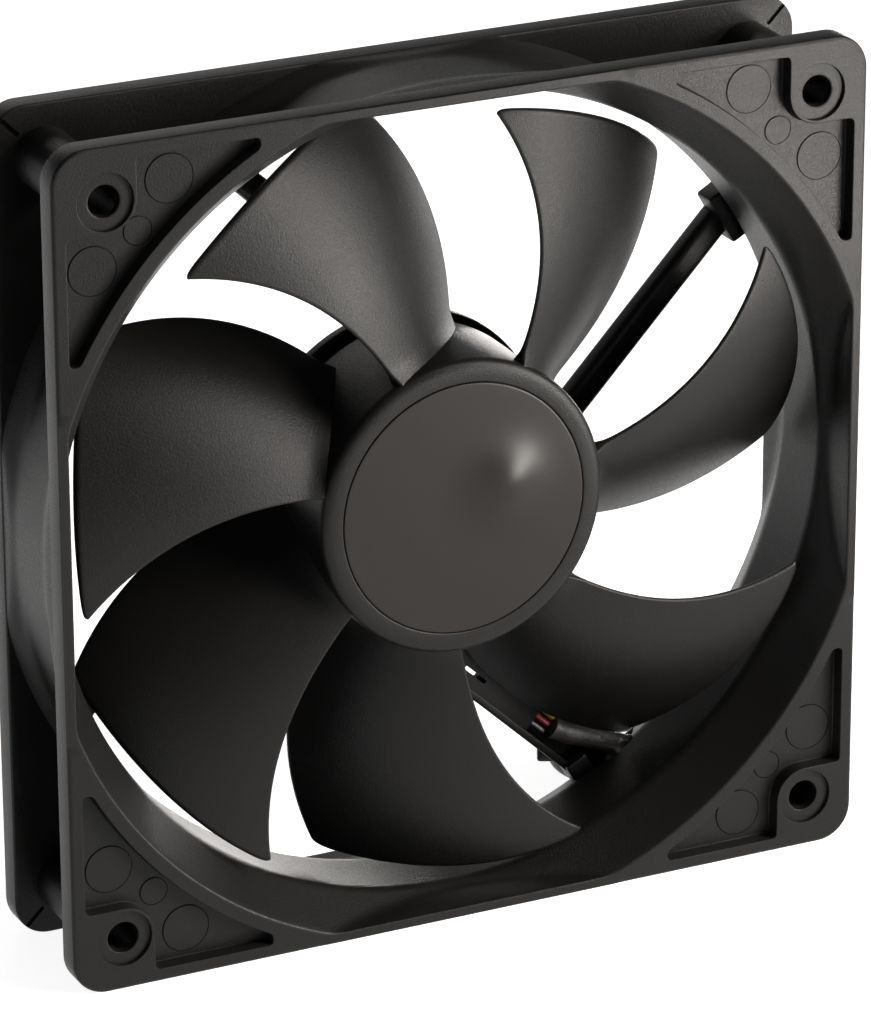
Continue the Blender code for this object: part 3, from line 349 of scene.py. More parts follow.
def finish(name, colour, second, roughness, spread, grain_scale, grain_depth, patch_scale, metallic=0.0,
           stretch=(1.0, 1.0, 1.0), specular=0.5):
    """A moulded or drawn finish: fine grain as bump and sheen, over slow patches of colour and sheen.

    Its roughness lies within a spread, scales are per metre, and the grain's depth is in metres."""
    made = bpy.data.materials.new(name)
    tree = empty_tree(made)
    place = tree.node("TexCoord", None, "Object")
    place = tree.node("Mapping", {"Vector": place, "Scale": stretch})
    grain = tree.node("TexNoise", {"Vector": place, "Scale": grain_scale, "Detail": NOISE_DETAIL,
                                   "Roughness": NOISE_ROUGHNESS}, "Fac")
    patch = tree.node("TexNoise", {"Vector": place, "Scale": patch_scale, "Detail": NOISE_DETAIL}, "Fac")
    blend = patch * PATCH_SHARE + grain * (1 - PATCH_SHARE)
    shade = tree.node("Mix", {"Factor": blend, MIX_FIRST: (*colour, 1.0), MIX_SECOND: (*second, 1.0)},
                      MIX_COLOUR, {"data_type": "RGBA"})
    sheen = patch * spread + (roughness - spread / 2) + (grain - 0.5) * (spread * GRAIN_SHEEN)
    bump = tree.node("Bump", {"Height": grain, "Strength": 1.0, "Distance": grain_depth})
    shader = tree.node("BsdfPrincipled", {"Base Color": shade, "Roughness": sheen, "Metallic": metallic,
                                          "Specular IOR Level": specular, "Normal": bump})
    tree.node("OutputMaterial", {"Surface": shader})
    return made


sleeve = finish("cable_sleeve", (0.012, 0.012, 0.013), (0.02, 0.02, 0.021), 0.42, 0.12, 2500.0, 2e-5,
                90.0)
boot_path = smooth_path(in_metres(BOOT_ROUTE), BOOT_SPACING)
hank = hank_path()
off_boot, onto_hank = unit(boot_path[-1] - boot_path[-2]), unit(hank[1] - hank[0])
cable_start = boot_path[-1] + off_boot * BOOT_GAP
cable_knots = np.vstack([cable_start + off_boot * CABLE_DIAMETER, in_metres(CABLE_ROUTE),
                         hank[0] - onto_hank * (BOOT_GAP + CABLE_DIAMETER)])
cable_path = np.vstack([cable_start, smooth_path(cable_knots, KNOT_SPACING),
                        hank[0] - onto_hank * BOOT_GAP, hank])
cable_path = smooth_path(cable_path, CABLE_SPACING)
cable = piece("cable_sleeve", swept(cable_path, CABLE_DIAMETER / 2), sleeve, ("cable", "cable_hank"))

# Plug
# A moulded black housing with an open socket for each of its three contacts and two guide ribs on top.
# It is pushed on the cable's end and lies on the hank.
PLUG_WIDTH, PLUG_HEIGHT, PLUG_LENGTH = 7.6 * MM, 5.8 * MM, 11.0 * MM
PLUG_CORNER, PLUG_EDGE = 0.5 * MM, 0.25 * MM
CORNER_STEPS, EDGE_SHARES = 5, np.array([0.0, 0.3, 1.0])
SAME_POINT = 1e-8
PLUG_FLOOR = 2.0 * MM
SOCKET_PITCH, SOCKET_HALF, SOCKET_MOUTH = 2.3 * MM, 0.8 * MM, 0.18 * MM
RIB_PLACE, RIB_HALF, RIB_HEIGHT = 2.3 * MM, 0.4 * MM, 0.5 * MM


def parabola(first, corner, last, steps):
    """Rows from a first to a last one, along the parabola whose tangents there meet at a corner."""
    share = np.linspace(0.0, 1.0, steps)[:, None]
    return (1 - share) ** 2 * first + 2 * share * (1 - share) * corner + share ** 2 * last


def rounded(corners, sizes, steps=CORNER_STEPS):
    """A closed outline whose corners are parabolas of given sizes; a corner of size 0 stays a point."""
    corners = np.asarray(corners, dtype=float)
    sizes = np.broadcast_to(np.asarray(sizes, dtype=float), len(corners))
    points = []
    before, after = np.roll(corners, 1, axis=0), np.roll(corners, -1, axis=0)
    for corner, back, ahead, size in zip(corners, before, after, sizes):
        if size == 0.0:
            points.append(corner[None])
        else:
            first, last = corner + unit(back - corner) * size, corner + unit(ahead - corner) * size
            points.append(parabola(first, corner, last, steps))
    return np.vstack(points)


def offset(outline, distance):
    """An outline moved outwards by a distance along its own normals (inwards if negative)."""
    along = np.roll(outline, -1, axis=0) - np.roll(outline, 1, axis=0)
    normal = unit(np.stack([along[:, 1], -along[:, 0]], axis=-1))
    area = np.sum(outline[:, 0] * np.roll(outline[:, 1], -1) - outline[:, 1] * np.roll(outline[:, 0], -1))
    return outline + np.sign(area) * distance * normal


def carried(outline, offsets, levels, axis=0):
    """A flat outline carried along an axis through some levels and offset at each, row by row."""
    rows = np.stack([offset(outline, each) for each in offsets])
    return np.insert(rows, axis, np.broadcast_to(np.asarray(levels)[:, None], rows.shape[:2]), axis=-1)


def within(points, loops):
    """Which points lie inside an odd number of loops, as a ray from each tells by how many it crosses."""
    crossings = np.zeros(len(points), dtype=int)
    for loop in loops:
        x, z = loop.T
        step_x, step_z = np.roll(x, -1) - x, np.roll(z, -1) - z
        over = (z > points[:, 1:]) != (z + step_z > points[:, 1:])
        meets = x + (points[:, 1:] - z) * step_x / np.where(step_z == 0.0, 1.0, step_z)
        crossings += np.sum(over & (points[:, :1] < meets), axis=1)
    return crossings % 2 == 1


def flat_cap(loops, axis=1):
    """A flat face across an axis between closed loops: a constrained Delaunay triangulation, from which
    the space inside the inner loops is left out."""
    plane = [np.delete(loop, axis, axis=1) for loop in loops]
    edges, count = [], 0
    for loop in plane:
        index = np.arange(len(loop)) + count
        edges += np.stack([index, np.roll(index, -1)], axis=-1).tolist()
        count += len(loop)
    spots = [Vector(point) for point in np.vstack(plane).tolist()]
    found, _, triangles, _, _, _ = delaunay_2d_cdt(spots, edges, [], 1, SAME_POINT)
    found, triangles = np.array([tuple(point) for point in found]), np.array(triangles)
    triangles = triangles[within(found[triangles].mean(axis=1), plane)]
    return np.insert(found, axis, loops[0][0, axis], axis=1), triangles


def rectangle(low, high):
    """The corners of a rectangle from its lowest and highest corner."""
    return np.array([low, (high[0], low[1]), high, (low[0], high[1])])


def rounded_ends(outline, start, end, edge):
    """An outline carried along the first axis and drawn in by a rounded edge at both ends."""
    drawn = edge * (1 - np.sqrt(1 - (1 - EDGE_SHARES) ** 2))
    return carried(outline, -np.concatenate([drawn, drawn[::-1]]),
                   np.concatenate([start + edge * EDGE_SHARES, end - edge * EDGE_SHARES[::-1]]))


def bar(outline, start, end, edge):
    """A solid bar along the first axis with flat ends and rounded edges round them."""
    rows = rounded_ends(outline, start, end, edge)
    return joined(skin(rows), flat_cap([rows[0]], 0), flat_cap([rows[-1]], 0))


housing = rounded(rectangle((-PLUG_WIDTH / 2, 0.0), (PLUG_WIDTH / 2, PLUG_HEIGHT)), PLUG_CORNER)
housing = rounded_ends(housing, 0.0, PLUG_LENGTH, PLUG_EDGE)
plug_shells = [skin(housing), flat_cap([housing[0]], 0)]
plug_mouths = [housing[-1]]
for across in (-SOCKET_PITCH, 0.0, SOCKET_PITCH):
    middle = np.array((across, PLUG_HEIGHT / 2))
    square = rounded(rectangle(middle - SOCKET_HALF, middle + SOCKET_HALF), SOCKET_MOUTH)
    socket = carried(square, [SOCKET_MOUTH, 0.0, 0.0],
                     [PLUG_LENGTH, PLUG_LENGTH - SOCKET_MOUTH, PLUG_FLOOR])
    plug_shells += [skin(socket), flat_cap([socket[-1]], 0)]
    plug_mouths.append(socket[0])
plug_shells.append(flat_cap(plug_mouths, 0))
for across in (-RIB_PLACE, RIB_PLACE):
    rib = rounded(rectangle((across - RIB_HALF, PLUG_HEIGHT - RIB_HEIGHT),
                            (across + RIB_HALF, PLUG_HEIGHT + RIB_HEIGHT)), RIB_HALF / 2)
    plug_shells.append(bar(rib, PLUG_FLOOR, PLUG_LENGTH - RIB_HEIGHT, PLUG_EDGE / 2))
plug_points, plug_faces = joined(*plug_shells)
plug_heading = unit((hank[-1] - hank[-2]) * (1.0, 1.0, 0.0))
plug_place = hank[-1] + plug_heading * BOOT_GAP
plug_place[2] = floor_level + HANK_FLOOR_GAP + CABLE_DIAMETER + HANK_LAYER + BOOT_GAP
plug_axes = np.stack([plug_heading, np.cross((0.0, 0.0, 1.0), plug_heading), (0.0, 0.0, 1.0)])
plug_plastic = finish("plug_plastic", (0.014, 0.014, 0.015), (0.022, 0.022, 0.023), 0.38, 0.1, 2600.0,
                      2e-5, 200.0)
plug = piece("plug_moulding", (plug_points @ plug_axes + plug_place, plug_faces), plug_plastic,
             ("plug_housing",))

# Plug contacts
# Three folded contacts of bright brass, crimped on the leads and pushed into the plug's sockets. They keep
# the shape that the CAD gives them.
METAL = 1.0


def dress(names, material):
    """Gives a material to CAD nodes that keep their own shape."""
    for name in names:
        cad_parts[name].material_slots[0].material = material


contact_brass = finish("contact_brass", (0.62, 0.43, 0.17), (0.72, 0.53, 0.25), 0.28, 0.12, 3000.0,
                       4e-6, 400.0, METAL)
dress([f"plug_contact_{number}" for number in (1, 2, 3)], contact_brass)

# Cable tie
# A black nylon tie drawn round the hank's waist: a flat band, and the square head that locks it, with the
# tail cut off short.
TIE_WIDTH, TIE_CORNER, TIE_SPACING = 2.6 * MM, 2.0 * MM, 0.8 * MM
TIE_CORNER_STEPS = 9
TIE_HEAD_SIDE, TIE_HEAD_HEIGHT, TIE_HEAD_PLACE = 3.8 * MM, 2.4 * MM, 4.0 * MM
TIE_TAIL = 1.2 * MM


def spaced(outline, spacing):
    """A closed outline with points added along its long stretches."""
    loop = np.vstack([outline, outline[:1]])
    counts = np.maximum(np.ceil(np.linalg.norm(np.diff(loop, axis=0), axis=1) / spacing), 1).astype(int)
    return np.vstack([a + (b - a) * np.linspace(0.0, 1.0, n, endpoint=False)[:, None]
                      for a, b, n in zip(loop[:-1], loop[1:], counts)])


tie_reach = HANK_WAIST + HANK_STEP + CABLE_DIAMETER / 2 + TIE_PLAY + TIE_THICKNESS / 2
tie_top = HANK_FLOOR_GAP + 2 * (TIE_THICKNESS + TIE_PLAY) + CABLE_DIAMETER + HANK_LAYER + TIE_THICKNESS
tie_low = (HANK_CENTRE[1] - tie_reach, floor_level + TIE_THICKNESS / 2)
tie_high = (HANK_CENTRE[1] + tie_reach, floor_level + tie_top - TIE_THICKNESS / 2)
tie_loop = spaced(rounded(rectangle(tie_low, tie_high), TIE_CORNER, TIE_CORNER_STEPS), TIE_SPACING)
tie_half = np.array((TIE_WIDTH / 2, TIE_THICKNESS / 2))
tie_section = rounded(rectangle(-tie_half, tie_half), TIE_THICKNESS / 4)
tie_section = np.vstack([tie_section, tie_section[:1]])
tie_x = HANK_CENTRE[0]
tie_band = carried(tie_loop, tie_section[:, 1], tie_x + tie_section[:, 0])
head_half = np.array((TIE_HEAD_SIDE / 2, TIE_HEAD_HEIGHT / 2))
head_middle = np.array(tie_high) + (-TIE_HEAD_PLACE, head_half[1] - TIE_THICKNESS / 2)
head_outline = rounded(rectangle(head_middle - head_half, head_middle + head_half), TIE_THICKNESS)
tie_head = bar(head_outline, tie_x - head_half[0], tie_x + head_half[0], TIE_THICKNESS / 2)
tail_half = np.array((TIE_THICKNESS / 2, head_half[1] + TIE_TAIL))
tail_outline = rounded(rectangle(head_middle - tail_half * (1.0, 0.0), head_middle + tail_half),
                       TIE_THICKNESS / 4)
tie_tail = bar(tail_outline, tie_x - tie_half[0], tie_x + tie_half[0], TIE_THICKNESS / 4)
tie_nylon = finish("tie_nylon", (0.016, 0.016, 0.017), (0.026, 0.026, 0.027), 0.34, 0.1, 1800.0, 2e-5,
                   260.0)
tie = piece("cable_tie_band", joined(skin(tie_band), tie_head, tie_tail), tie_nylon, ("cable_tie",))

# Heat-shrink boot
# A short sleeve of black heat-shrink tube over the joint of leads and cable, tapered as it has shrunk and
# faintly waisted between the leads.
BOOT_DIAMETERS = (3.7 * MM, 3.1 * MM)
BOOT_WAIST, BOOT_WAISTS = 0.06 * MM, 3
BOOT_OVERLAP = 3.0 * MM
BOOT_SIDES = 28
over_cable = cable_path[:round(BOOT_OVERLAP / CABLE_SPACING) + 1]
boot_path = np.vstack([boot_path, over_cable])
boot_share = np.linspace(0.0, 1.0, len(boot_path))
boot_radii = np.linspace(*BOOT_DIAMETERS, len(boot_path)) / 2
boot_radii -= BOOT_WAIST * np.sin(np.pi * BOOT_WAISTS * boot_share) ** 2
heat_shrink = finish("heat_shrink", (0.006, 0.006, 0.006), (0.055, 0.053, 0.05), 0.5, 0.2, 800.0, 2e-4,
                     520.0)
piece("heat_shrink_sleeve", swept(boot_path, boot_radii, BOOT_SIDES), heat_shrink, ("heat_shrink_boot",))

# Leads
# Three stranded wires in black, red and yellow plastic that run side by side from the motor's board along
# the wire strut's channel into the boot.
LEAD_DIAMETER, LEAD_SPACING, LEAD_SIDES = 0.9 * MM, 0.5 * MM, 14
LEAD_ROUTE = [(-7.2, 2.85, -11.2), (-6.5, 2.85, -13.2), (-4.9, 2.85, -16.6), (-2.4, 2.85, -20.2),
              (2.0, 2.5, -24.7), (9.0, 2.4, -31.3), (16.0, 2.4, -37.8), (20.4, 2.7, -42.0),
              (22.6, 3.0, -44.1)]
LEAD_SPREAD = [1.5] * 7 + [1.3, 1.2]
LEAD_COLOURS = {"lead_black": ((0.012, 0.012, 0.012), (0.022, 0.022, 0.022)),
                "lead_red": ((0.2, 0.008, 0.008), (0.28, 0.014, 0.012)),
                "lead_yellow": ((0.42, 0.28, 0.012), (0.52, 0.36, 0.03))}
lead_heading = unit(np.gradient(np.array(LEAD_ROUTE)[:, [0, 2]], axis=0))
lead_spread = np.array(LEAD_SPREAD)[:, None] * lead_heading[:, ::-1] * (-1.0, 1.0)
for side, (name, colours) in enumerate(LEAD_COLOURS.items()):
    lead_route = np.array(LEAD_ROUTE)
    lead_route[:, [0, 2]] += (side - 1) * lead_spread
    insulation = finish(f"{name}_insulation", *colours, 0.36, 0.1, 2400.0, 1e-5, 300.0)
    lead_path = smooth_path(in_metres(lead_route), LEAD_SPACING)
    piece(f"{name}_wire", swept(lead_path, LEAD_DIAMETER / 2, LEAD_SIDES), insulation, (name,))

# Frame shell
# One moulding of black glass-filled nylon: two square flanges on a duct with a bell mouth and a rear flare,
# both clipped flat at the sides, and a column for a screw in each corner. The front flange has a pocket
# round each screw's seat, and the rear one a short groove behind each column.
FRONT_FACE, DEPTH = -12.5 * MM, 25.0 * MM
HALF_SIDE, CORNER_RADIUS = 60.0 * MM, 5.0 * MM
FLANGE, BACK_ROWS = 4.0 * MM, 5
THROAT = 57.7 * MM
BELL, BELL_DEPTH = 4.6 * MM, 7.2 * MM
FLARE, FLARE_DEPTH = 3.8 * MM, 7.0 * MM
BEND, DUCT_COUNTS = 1.0 * MM, (8, 6, 4, 6, 8)
DUCT_WALL, OUTSIDE_ROWS = 2.0 * MM, 26
EDGE_RIM = 1.5 * MM
SIDE_STEP = 0.15 * MM
BLEND = 0.5 * MM
EDGE, BACK_EDGE, LIP_EDGE, EDGE_ROWS = 0.45 * MM, 0.3 * MM, 0.3 * MM, 5
MARGIN = 0.15 * MM
HOLE_PLACE, HOLE_RADIUS, HOLE_SIDES = 52.5 * MM, 2.2 * MM, 48
SEAT_RADIUS, SEAT_DEPTH = 4.0 * MM, 0.55 * MM
SEAT_RIM = np.array([(0.12, 0.0), (0.08, 0.0), (0.03, 0.02), (0.0, 0.08)]) * MM
SEAT_FLOOR = np.array([(-0.03, 0.0), (-0.2, 0.0)]) * MM
HOLE_RIM = np.array([(0.35, 0.0), (0.2, 0.0), (0.06, 0.06), (0.0, 0.2)]) * MM
EXIT_RIM = np.array([(0.0, -0.25), (0.08, -0.08), (0.25, 0.0), (0.4, 0.0)]) * MM
HOLE_MOUTH, DRILL_RUN, DRILL_SLIP = 1.5 * MM, 0.3 * MM, 0.03 * MM
COLUMN_RADIUS, COLUMN_SINK = 4.3 * MM, 0.2 * MM
POCKET_OFFSETS = np.array([0.16, 0.12, 0.035, 0.0, -0.08, -0.11, -0.22, -0.34]) * MM
POCKET_DEPTHS = np.array([0.0, 0.0, 0.035, 0.12, 1.85, 2.0, 2.1, 2.1]) * MM
POCKET_REACH, POCKET_CORNER, POCKET_SPACING = 58.1 * MM, 0.8 * MM, 1.2 * MM
POCKET_LIP, POCKET_LIP_STEPS = 64.3 * MM, 26
POCKET_END, POCKET_NOSE = 30.5 * MM, 0.7 * MM
POCKET_BOSS, POCKET_BOSS_STEPS = 4.45 * MM, 9
PIN_MARKS = [((42.7 * MM, 53.8 * MM), 3.5 * MM), ((53.8 * MM, 42.7 * MM), 3.5 * MM),
             ((47.3 * MM, 47.3 * MM), 2.1 * MM)]
PIN_RIM = np.array([(0.0, 0.0), (-0.05, 0.1), (-0.12, 0.1), (-0.2, -0.1)]) * MM
CORNER_GROOVE_WIDTH, CORNER_GROOVE_DEPTH = 0.6 * MM, 0.5 * MM
AROUND_STOPS, AROUND_COUNTS = (0, 40, 50, 90), (64, 32, 64)


def stretches(stops, counts):
    """Even steps from each stop to the next, as many as its count, with the last stop left out."""
    return np.concatenate([np.linspace(first, last, count, endpoint=False)
                           for first, last, count in zip(stops, stops[1:], counts)])


quarter = stretches(AROUND_STOPS, AROUND_COUNTS)
around = np.radians(np.concatenate([quarter + 90 * k for k in range(4)]))


def soft_min(a, b, width=BLEND):
    """The lesser of two values, with the corner between them rounded over a width."""
    share = np.clip(0.5 + 0.5 * (b - a) / width, 0.0, 1.0)
    return b + (a - b) * share - width * share * (1 - share)


def square_radius(angle, half, corner):
    """The distance from the axis to a square with round corners, in the direction of an angle."""
    narrow, wide = np.sort(np.abs([np.cos(angle), np.sin(angle)]), axis=0)
    centre = half - corner
    inside = np.maximum(centre ** 2 * (wide + narrow) ** 2 - 2 * centre ** 2 + corner ** 2, 0.0)
    return np.where(narrow / wide * half > centre, centre * (wide + narrow) + np.sqrt(inside), half / wide)


def duct_radius(depth):
    """The duct's round inside: a cone into the throat and a cone out of it, blended where they meet."""
    bell = -soft_min(-BELL * (1 - depth / BELL_DEPTH), 0.0)
    flare = -soft_min(-FLARE * (depth - DEPTH + FLARE_DEPTH) / FLARE_DEPTH, 0.0)
    return THROAT + bell + flare


def duct_inside(depth):
    """The duct's inner radius all round at some depths, clipped flat at the four sides."""
    flat = square_radius(around, HALF_SIDE - EDGE_RIM, 0.0)
    return soft_min(duct_radius(np.asarray(depth))[:, None], flat[None, :])


def duct_outside(depth):
    """The duct's outer radius all round at some depths, flush with the flanges at the four sides."""
    side = square_radius(around, HALF_SIDE - SIDE_STEP, CORNER_RADIUS)
    return soft_min(duct_radius(np.asarray(depth))[:, None] + DUCT_WALL, side[None, :])


def polar_points(radius, angle, depth):
    """Points at a radius and an angle round the fan's axis, and at a depth behind the front face."""
    parts = radius * np.cos(angle), FRONT_FACE + depth, radius * np.sin(angle)
    return np.stack(np.broadcast_arrays(*parts), axis=-1)


def duct_skin():
    """The duct's inside from the front lip to the rear one, with both lips rolled over along a parabola
    from the face into the duct."""
    rows, depths = [], []
    for face, sign in ((0.0, 1), (DEPTH, -1)):
        past_lip = face + sign * LIP_EDGE
        lip = duct_inside([face])
        edge = parabola(lip + LIP_EDGE, lip, duct_inside([past_lip]), EDGE_ROWS)
        rows.append(np.vstack([lip + LIP_EDGE + MARGIN, edge])[::sign])
        depths.append(np.vstack([face, parabola(face, face, past_lip, EDGE_ROWS)])[::sign])
    flare_start = DEPTH - FLARE_DEPTH
    between = stretches((LIP_EDGE, BELL_DEPTH - BEND, BELL_DEPTH + BEND, flare_start - BEND,
                         flare_start + BEND, DEPTH - LIP_EDGE), DUCT_COUNTS)[1:]
    return polar_points(np.vstack([rows[0], duct_inside(between), rows[1]]), around,
                        np.vstack([depths[0], between[:, None], depths[1]]))


def outer_skin():
    """The outside from the front face to the rear one: a flange with rounded edges, in along its back
    to the duct, along the duct, and out to the other flange."""
    turn = np.radians(np.linspace(0.0, 90.0, EDGE_ROWS))
    inset = np.concatenate([[EDGE + MARGIN], EDGE * (1 - np.sin(turn)), BACK_EDGE * (1 - np.cos(turn))])
    depth = np.concatenate([[0.0], EDGE * (1 - np.cos(turn)), FLANGE - BACK_EDGE * (1 - np.sin(turn))])
    flange = np.stack([square_radius(around, HALF_SIDE - each, CORNER_RADIUS - each) for each in inset])
    inward = np.linspace(0.0, 1.0, BACK_ROWS + 1)[1:, None]
    rows, depths = [], []
    for flange_depth, root in ((depth, FLANGE), (DEPTH - depth, DEPTH - FLANGE)):
        flange = np.maximum(flange, duct_outside(flange_depth))
        rows.append(np.vstack([flange, flange[-1:] + (duct_outside([root]) - flange[-1:]) * inward]))
        depths.append(np.concatenate([flange_depth, np.full(BACK_ROWS, root)]))
    between = np.linspace(FLANGE, DEPTH - FLANGE, OUTSIDE_ROWS)[1:-1]
    return polar_points(np.vstack([rows[0], duct_outside(between), rows[1][::-1]]), around,
                        np.concatenate([depths[0], between, depths[1][::-1]])[:, None])


def turned_about(profile, sides, centre=(0.0, 0.0)):
    """A profile of radius and depth turned about a line along Y through a centre, row by row."""
    radius, depth = np.asarray(profile).T[:, :, None]
    turn = np.linspace(0.0, 2 * np.pi, sides, endpoint=False)
    return polar_points(radius, turn, depth) + (centre[0], 0.0, centre[1])


def upright(radius, end):
    """The profile of a round bar along Y that ends equally far from the front and rear faces."""
    return [(radius, end), (radius, DEPTH - end)]


def pocket_outline():
    """One pocket in the corner towards +X and +Z: along the bell's lip, across a blunt end, up the rim,
    in round the screw boss, and back along the other rim to the other end, with its corners rounded."""
    start = np.arcsin(POCKET_END / POCKET_LIP)
    sweep = np.linspace(np.pi / 2 - start, start, POCKET_LIP_STEPS)
    lip = polar_points(POCKET_LIP, sweep, 0.0)[:, [0, 2]]
    hollow = np.radians(np.linspace(270.0, 180.0, POCKET_BOSS_STEPS))
    boss = HOLE_PLACE + polar_points(POCKET_BOSS, hollow, 0.0)[:, [0, 2]]
    near = HOLE_PLACE - POCKET_BOSS
    corners = np.vstack([lip, [(POCKET_REACH, POCKET_END), (POCKET_REACH, near)], boss,
                         [(near, POCKET_REACH), (POCKET_END, POCKET_REACH)]])
    sizes = np.zeros(len(corners))
    sizes[[0, len(lip) - 1, len(lip), -1]] = POCKET_NOSE
    sizes[[len(lip) + 1, -2]] = POCKET_CORNER
    return spaced(rounded(corners, sizes), POCKET_SPACING)


def turned_by(points, degrees):
    """Points turned about the fan's axis, from +X towards +Z."""
    cosine, sine = np.cos(np.radians(degrees)), np.sin(np.radians(degrees))
    x, y, z = np.moveaxis(points, -1, 0)
    return np.stack([x * cosine - z * sine, y, x * sine + z * cosine], axis=-1)


def turned_bar(outline, start, end, edge, degrees):
    """A bar made along +X and turned about the fan's axis."""
    points, faces = bar(outline, start, end, edge)
    return turned_by(points, degrees), faces


def cut(target, shell, operation="DIFFERENCE"):
    """Takes the space of a closed shell away from a piece, or adds it with the operation UNION."""
    tool = solid("cut", shell)
    change = target.modifiers.new("cut", "BOOLEAN")
    change.operation = operation
    change.solver = "EXACT"
    change.object = tool
    graph = bpy.context.evaluated_depsgraph_get()
    made = bpy.data.meshes.new_from_object(target.evaluated_get(graph))
    target.modifiers.remove(change)
    old = target.data
    target.data = made
    made.name = target.name
    made.set_sharp_from_angle(angle=np.radians(SHARP))
    bpy.data.meshes.remove(old)
    bpy.data.objects.remove(tool)


inner, outer = duct_skin(), outer_skin()
shells = [skin(inner), skin(outer)]
front_loops, rear_loops = [outer[0], inner[0]], [outer[-1], inner[-1]]
seat_profile = np.vstack([(SEAT_RADIUS, 0.0) + SEAT_RIM, (SEAT_RADIUS, SEAT_DEPTH) + SEAT_FLOOR,
                          (HOLE_RADIUS, SEAT_DEPTH) + HOLE_RIM, (HOLE_RADIUS, HOLE_MOUTH)])
exit_profile = np.vstack([(HOLE_RADIUS, DEPTH - HOLE_MOUTH), (HOLE_RADIUS, DEPTH) + EXIT_RIM])
pocket_floor = POCKET_DEPTHS[-1]
columns, drills = [], []
for turn in range(4):
    seat, hole_exit, column, drill = (
        turned_by(turned_about(profile, HOLE_SIDES, (HOLE_PLACE, HOLE_PLACE)), 90.0 * turn)
        for profile in (seat_profile, exit_profile,
                        upright(COLUMN_RADIUS, FLANGE - COLUMN_SINK),
                        upright(HOLE_RADIUS - DRILL_SLIP, HOLE_MOUTH - DRILL_RUN)))
    pocket = carried(pocket_outline(), POCKET_OFFSETS, FRONT_FACE + POCKET_DEPTHS, 1)
    pocket = turned_by(pocket, 90.0 * turn)
    shells += [skin(seat), skin(hole_exit), skin(pocket)]
    front_loops += [seat[0], pocket[0]]
    rear_loops.append(hole_exit[-1])
    columns.append(skin(column))
    drills.append(skin(drill))
    floor_loops = [pocket[-1]]
    for centre, radius in PIN_MARKS:
        profile = np.vstack([(radius, pocket_floor) + PIN_RIM, (0.0, pocket_floor + PIN_RIM[-1, 1])])
        mark = turned_by(turned_about(profile, HOLE_SIDES, centre), 90.0 * turn)
        shells.append(skin(mark))
        floor_loops.append(mark[0])
    shells.append(flat_cap(floor_loops))
shells += [flat_cap(front_loops), flat_cap(rear_loops)]
plastic = finish("moulded_plastic", (0.0055, 0.0052, 0.005), (0.0115, 0.011, 0.0105), 0.38, 0.12, 3600.0,
                 5e-5, 70.0, specular=0.18)
frame_shell = piece("frame_shell", joined(*shells), plastic, ("frame",))
diagonal = np.sqrt(2.0)
flange_inside = FRONT_FACE + DEPTH - FLANGE
groove = rectangle((flange_inside - CORNER_GROOVE_DEPTH, -CORNER_GROOVE_WIDTH / 2),
                   (flange_inside + CORNER_GROOVE_DEPTH, CORNER_GROOVE_WIDTH / 2))
groove_start = HOLE_PLACE * diagonal + COLUMN_RADIUS + CORNER_GROOVE_WIDTH
grooves = [turned_bar(groove, groove_start, HALF_SIDE * diagonal, CORNER_GROOVE_WIDTH / 4, degrees)
           for degrees in (45.0, 135.0, 225.0, 315.0)]
cut(frame_shell, joined(*columns), "UNION")
cut(frame_shell, joined(*drills, *grooves))

# Struts and motor base
# Four bars of the same moulding run past the axis from the rear of the duct to the round motor base;
# three are plain with a lug at the wall, and the fourth is a covered channel for the leads with a slit.
BASE_RADIUS, BASE_SIDES = 22.0 * MM, 160
BASE_FRONT, BASE_REAR = 22.9 * MM, 24.9 * MM
BASE_CORNERS = np.array([0.3, 0.3, 0.4, 0.4, 0.6, 0.2, 0.1, 0.1, 0.1, 0.1]) * MM
COLLAR_BORE, COLLAR_RADIUS, COLLAR_FRONT = 4.3 * MM, 5.6 * MM, 20.3 * MM
LABEL_SEAT_RADIUS, LABEL_SEAT = 9.0 * MM, 24.21 * MM
LEDGE_RADIUS, TUBE_SEAT = 2.5 * MM, 23.61 * MM
STRUT_FIRST, STRUT_OFFSET = 46.8, 16.6 * MM
STRUT_HALF, STRUT_CORNER, STRUT_EDGE = 2.0 * MM, 1.1 * MM, 0.05 * MM
STRUT_FRONT, STRUT_REAR = 21.2 * MM, 24.7 * MM
STRUT_FOOT, STRUT_SINK = 9.0 * MM, 0.9 * MM
LUG_WIDTH, HALF_LUG, LUG_CORNER = 8.0 * MM, 3.5 * MM, 0.5 * MM
LUG_REACH, LUG_SINK = 1.4 * MM, 2.5 * MM
LUG_FRONT, LUG_REAR = 20.2 * MM, 24.4 * MM
CHANNEL = 3
CHANNEL_HALF, CHANNEL_FOOT = 3.8 * MM, 12.8 * MM
CHANNEL_CORNERS = np.array([0.4, 0.4, 0.3, 0.3, 0.4, 0.4, 1.0, 1.0]) * MM
GROOVE_HALF, GROOVE_FLOOR = 2.6 * MM, 23.7 * MM
WINDOW_WIDTH, WINDOW_FRONT = 4.4 * MM, 17.2 * MM
WINDOW_PAST_BOOT = 8.0 * MM
WINDOW_CORNER, WINDOW_SKIM = 0.8 * MM, 0.005 * MM
COVER_HALF, COVER_THICKNESS, COVER_END = 2.7 * MM, 0.35 * MM, 43.8 * MM
SLIT_WIDTH, SLIT_ASIDE = 0.6 * MM, -0.75 * MM
SLIT_START, SLIT_END = 28.8 * MM, 33.2 * MM
POSTS, POST_FIRST, POST_PITCH = 3, 20.0, 12.5 * MM
POST_RADIUS, POST_FRONT, POST_SIDES = 1.0 * MM, 21.7 * MM, 20
POST_EDGE, POST_SINK = 0.2 * MM, 1.0 * MM


def along_strut(radius):
    """How far along a strut, from the point nearest the axis, its middle meets a radius."""
    return np.sqrt(radius ** 2 - STRUT_OFFSET ** 2)


